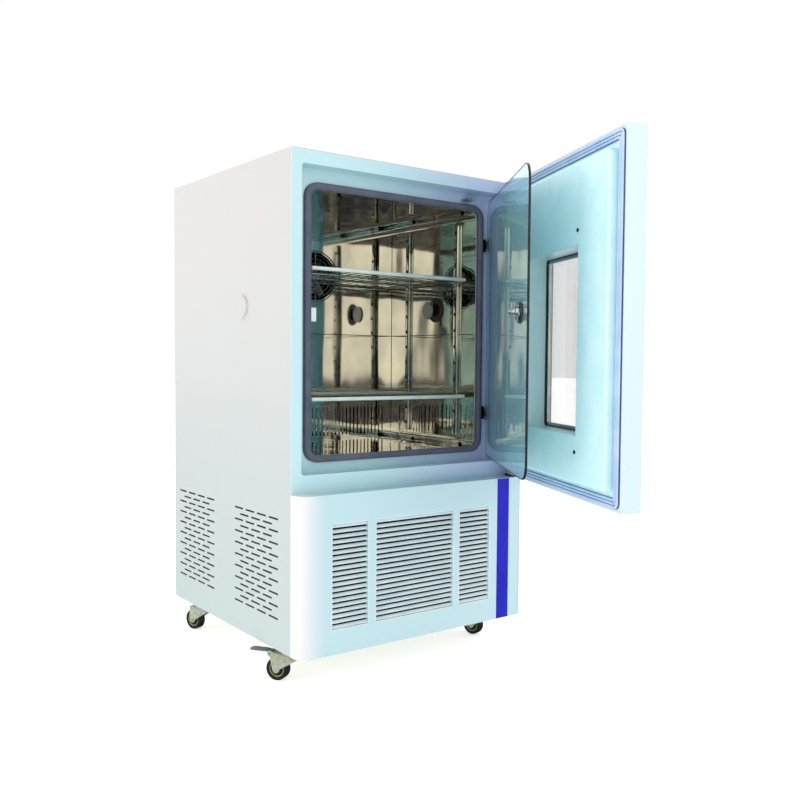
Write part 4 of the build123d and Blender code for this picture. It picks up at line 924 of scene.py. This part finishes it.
# %% Sheet joints in the chamber
SEAM_Z, SEAM_HALF, SEAM_PROUD = 912, 1.1, 0.35
WALL_LEFT, WALL_RIGHT, CHAMBER_FRONT = -289, 257, -318
duct_front = span("air_duct_panel")[0].y
upright_low, upright_high = span("shelf_uprights")
seams = [
    block("seam_rear", (WALL_LEFT + 1, duct_front - SEAM_PROUD, SEAM_Z - SEAM_HALF),
          (WALL_RIGHT - 1, duct_front + 0.1, SEAM_Z + SEAM_HALF)),
    block("seam_right", (WALL_RIGHT - SEAM_PROUD, CHAMBER_FRONT, SEAM_Z - SEAM_HALF),
          (WALL_RIGHT + 0.1, duct_front - 1, SEAM_Z + SEAM_HALF)),
    block("seam_left", (WALL_LEFT - 0.1, CHAMBER_FRONT, SEAM_Z - SEAM_HALF),
          (WALL_LEFT + SEAM_PROUD, duct_front - 1, SEAM_Z + SEAM_HALF)),
    block("seam_corner_right", (WALL_RIGHT - 1.2, duct_front - SEAM_PROUD, upright_low.z),
          (WALL_RIGHT - 0.4, duct_front + 0.1, upright_high.z)),
    block("seam_corner_left", (WALL_LEFT + 0.4, duct_front - SEAM_PROUD, upright_low.z),
          (WALL_LEFT + 1.2, duct_front + 0.1, upright_high.z)),
]
settle(join("chamber_sheet_joints", [round_edges(seam, 0.1, 1) for seam in seams]), seam_and_hole_shade_black, "cabinet",
       "mirror_steel")

# %% [markdown]
# The shelf uprights are pressed channels with soft folds. A sharp box would mirror one flat tone, but a
# rounded fold gathers the whole room into a bright and a dark line, which is how polished steel reads.

# %% Shelf uprights
UPRIGHT_WIDTH, UPRIGHT_DEPTH, UPRIGHT_FOLD, UPRIGHT_PLACES = 20, 10, 4.4, (-239, 9)
HOOK_REACH, HOOK_WIDTH, HOOK_SHEET, HOOK_HEIGHT = 20, 9, 3, 24
pieces = []
for wall, side in ((WALL_LEFT, 1), (WALL_RIGHT, -1)):
    face = wall + side * UPRIGHT_DEPTH
    for y in UPRIGHT_PLACES:
        x0, x1 = sorted((wall - side * 0.2, face))
        channel = block("upright", (x0, y - UPRIGHT_WIDTH / 2, upright_low.z),
                        (x1, y + UPRIGHT_WIDTH / 2, upright_high.z))
        pieces.append(round_edges(channel, UPRIGHT_FOLD, 4))
        for shelf in ("shelf_upper", "shelf_lower"):
            z = span(shelf)[0].z
            x0, x1 = sorted((face - side, face + side * HOOK_REACH))
            arm = block("hook_arm", (x0, y - HOOK_WIDTH / 2, z - HOOK_SHEET),
                        (x1, y + HOOK_WIDTH / 2, z - 0.1))
            x0, x1 = sorted((face - side, face + side * HOOK_SHEET))
            leg = block("hook_leg", (x0, y - HOOK_WIDTH / 2, z - HOOK_HEIGHT),
                        (x1, y + HOOK_WIDTH / 2, z - 1))
            pieces += [round_edges(arm, 0.8, 2), round_edges(leg, 0.8, 2)]
settle(join("shelf_upright_channels", pieces), duct_steel, "cabinet", "duct_steel", "shelf_uprights")

# %% [markdown]
# A row of round holes in each upright takes the shelf hooks at any height. From the front they read as
# dark dots, so each hole is a small dark disc on the upright's face, painted shade in place of the hole.

# %% Holes of the shelf uprights
HOLE_RADIUS, HOLE_PITCH, HOLES = 5, 48, 13
# Each disc is dark as painted shade for a hole; the channels themselves have no holes.
hole_shade_disc = rod("hole_shade_disc", (0, 0, upright_low.z + HOLE_PITCH / 2), HOLE_RADIUS, 1.2, "X", 20)
edit(hole_shade_disc, "FACE", lambda face: abs(face.normal.x) > 0.9)
bpy.ops.mesh.inset(thickness=1.2 * MM, use_individual=True)
bpy.ops.mesh.extrude_region_shrink_fatten(TRANSFORM_OT_shrink_fatten={"value": -0.4 * MM})
close_edit()
hole_shade_discs = copied_to(round_edges(hole_shade_disc, 0.2, 1), [
    (x, y, HOLE_PITCH * number) for number in range(HOLES) for y in UPRIGHT_PLACES
    for x in (WALL_LEFT + UPRIGHT_DEPTH, WALL_RIGHT - UPRIGHT_DEPTH)])
settle(join("upright_hole_shades", hole_shade_discs), seam_and_hole_shade_black, "cabinet", "duct_steel")

# %% [markdown]
# The lower cover breathes through louvres: tilted blades in a thin frame, with a black screen behind
# them as painted shade for the dark compartment. The dark line under each blade is the gap where the
# screen shows, so the blades are narrow enough to leave it open.

# %% Louvres
BLADE_WIDTH, BLADE_SHEET, BLADE_TILT, BLADES, FRAME, FRAME_DEPTH = 9.6, 1.8, 46, 20, 2, 12
GRILLE_WINDOWS = ((-282, -171.5), (-151, 106), (124, 236))
grille_low, grille_high = span("louvre_grilles")
pitch = (grille_high.z - grille_low.z) / BLADES
frames, screens = [], []
for x0, x1 in GRILLE_WINDOWS:
    middle = (x0 + x1) / 2
    frames.append(band("grille_frame", (x0, grille_low.z), (x1, grille_high.z), 0.8, FRAME,
                       cover_low.y + FRAME_DEPTH, cover_low.y + 0.2))
    blade = block("blade", ((x0 - middle + FRAME / 2), -BLADE_WIDTH / 2, -BLADE_SHEET / 2),
                  ((x1 - middle - FRAME / 2), BLADE_WIDTH / 2, BLADE_SHEET / 2))
    round_edges(blade, 0.8, 2)
    blade.data.transform(Matrix.Rotation(math.radians(BLADE_TILT), 4, "X"))
    rows = [(middle, cover_low.y + FRAME_DEPTH / 2, grille_low.z + (row + 0.5) * pitch)
            for row in range(BLADES)]
    frames += copied_to(blade, rows)
    screen = block("screen", (x0 + 0.5, cover_low.y + FRAME_DEPTH, grille_low.z + 0.5),
                   (x1 - 0.5, cover_low.y + FRAME_DEPTH + 1, grille_high.z - 0.5))
    screens.append(round_edges(screen, 0.3, 1))
settle(join("louvre_blades", frames), grille_plastic, "cabinet", "grille_plastic", "louvre_grilles")

# %% [markdown]
# Screens of the same black sheet sit behind the slotted vents of the side panels, as painted shade for
# the dark compartments. Without them daylight from the other side would shine through the slots, and they
# would look pale instead of black.

# %% Black screens behind the vents, painted shade
SKIN, SCREEN, VENT_Z, VENT_FRONT, VENT_REAR = 1.5, 1, (166, 434), (-314, -48), (76, 342)
left_skin, right_skin = span("left_side_panel")[0].x + SKIN, span("right_side_panel")[1].x - SKIN
for wall, side, fields in ((left_skin, 1, (VENT_FRONT, VENT_REAR)), (right_skin, -1, (VENT_REAR,))):
    for y0, y1 in fields:
        x0, x1 = sorted((wall + side * 0.1, wall + side * SCREEN))
        screens.append(round_edges(block("screen", (x0, y0, VENT_Z[0]), (x1, y1, VENT_Z[1])), 0.3, 1))
# Black as painted shade: the compartments behind the vents are dark from shade, not from a dark part.
shade_screen_black = moulded("black_screen_painted_shade", "#0e0f12", "#17181c", 0.8, 1.5, 0.3)
settle(join("painted_shade_screens", screens), shade_screen_black, "cabinet", "black_plastic")

# %% [markdown]
# A caster wheel is a steel hub with a rubber tyre pressed on it. Both are turned parts, so each starts
# as a cylinder whose side faces are inset and pushed in, which gives the web and the tyre's shoulder.

# %% Caster wheels
WHEEL_RADIUS, WHEEL_WIDTH, TYRE_HEIGHT = 30, 22, 9


def wheel_parts():
    """A tyre and a hub about the X axis at the origin."""
    rubber = rod("tyre", (0, 0, 0), WHEEL_RADIUS, WHEEL_WIDTH, "X", 48)
    edit(rubber, "FACE", lambda face: abs(face.normal.x) > 0.9)
    bpy.ops.mesh.inset(thickness=TYRE_HEIGHT * MM, use_individual=True)
    bpy.ops.mesh.extrude_region_shrink_fatten(TRANSFORM_OT_shrink_fatten={"value": -2.5 * MM})
    close_edit()
    round_edges(rubber, 2.2, 3)
    metal = rod("hub", (0, 0, 0), WHEEL_RADIUS - TYRE_HEIGHT + 0.3, WHEEL_WIDTH - 2.6, "X", 40)
    edit(metal, "FACE", lambda face: abs(face.normal.x) > 0.9)
    bpy.ops.mesh.inset(thickness=3 * MM, use_individual=True)
    bpy.ops.mesh.extrude_region_shrink_fatten(TRANSFORM_OT_shrink_fatten={"value": -3 * MM})
    bpy.ops.mesh.inset(thickness=9 * MM, use_individual=True)
    bpy.ops.mesh.extrude_region_shrink_fatten(TRANSFORM_OT_shrink_fatten={"value": 4 * MM})
    close_edit()
    round_edges(metal, 0.7, 2)
    return rubber, metal


for corner in ("front_left", "rear_left", "front_right", "rear_right"):
    joint = JOINTS["roll_" + corner]
    place = Matrix.Translation(Vector(joint["pos_m"]))
    turn = Vector((1, 0, 0)).rotation_difference(Vector(joint["axis"])).to_matrix().to_4x4()
    rubber, metal = wheel_parts()
    for part in (rubber, metal):
        part.data.transform(place @ turn)
    body = "caster_wheel_" + corner
    rubber.name, metal.name = "tyre_" + corner, "hub_" + corner
    settle(rubber, tyre, body, "tyre_black", body)
    settle(metal, brass_hub, body, "zinc")

# %% [markdown]
# On the outer face of the door, the control panel has a smoked acrylic window in its recess. The
# window is a thin plate with a polished, rounded edge. The display behind it is off.

# %% Display window
panel_low = shut_span("control_panel", OUTER)[0]
smoked, smoked_tree, smoked_shader = finish_of("smoked_acrylic", "#0c1114", Roughness=0.06, Coat_Weight=0.4)
two_tone(smoked_tree, smoked_shader, grain(smoked_tree, 90), "#0c1114", "#11181c")
DISPLAY_LOW, DISPLAY_HIGH, DISPLAY_GAP, DISPLAY_DEPTHS = (-190, 1200), (-10, 1284), 0.4, (0.7, 2.1)
display_x = DISPLAY_LOW[0] + DISPLAY_GAP, DISPLAY_HIGH[0] - DISPLAY_GAP
display_z = DISPLAY_LOW[1] + DISPLAY_GAP, DISPLAY_HIGH[1] - DISPLAY_GAP
plate = block("display_window", (display_x[0], panel_low.y + DISPLAY_DEPTHS[0], display_z[0]),
              (display_x[1], panel_low.y + DISPLAY_DEPTHS[1], display_z[1]))
settle(swung(round_edges(plate, 0.5, 2), OUTER), smoked, "outer_door", "black_plastic")
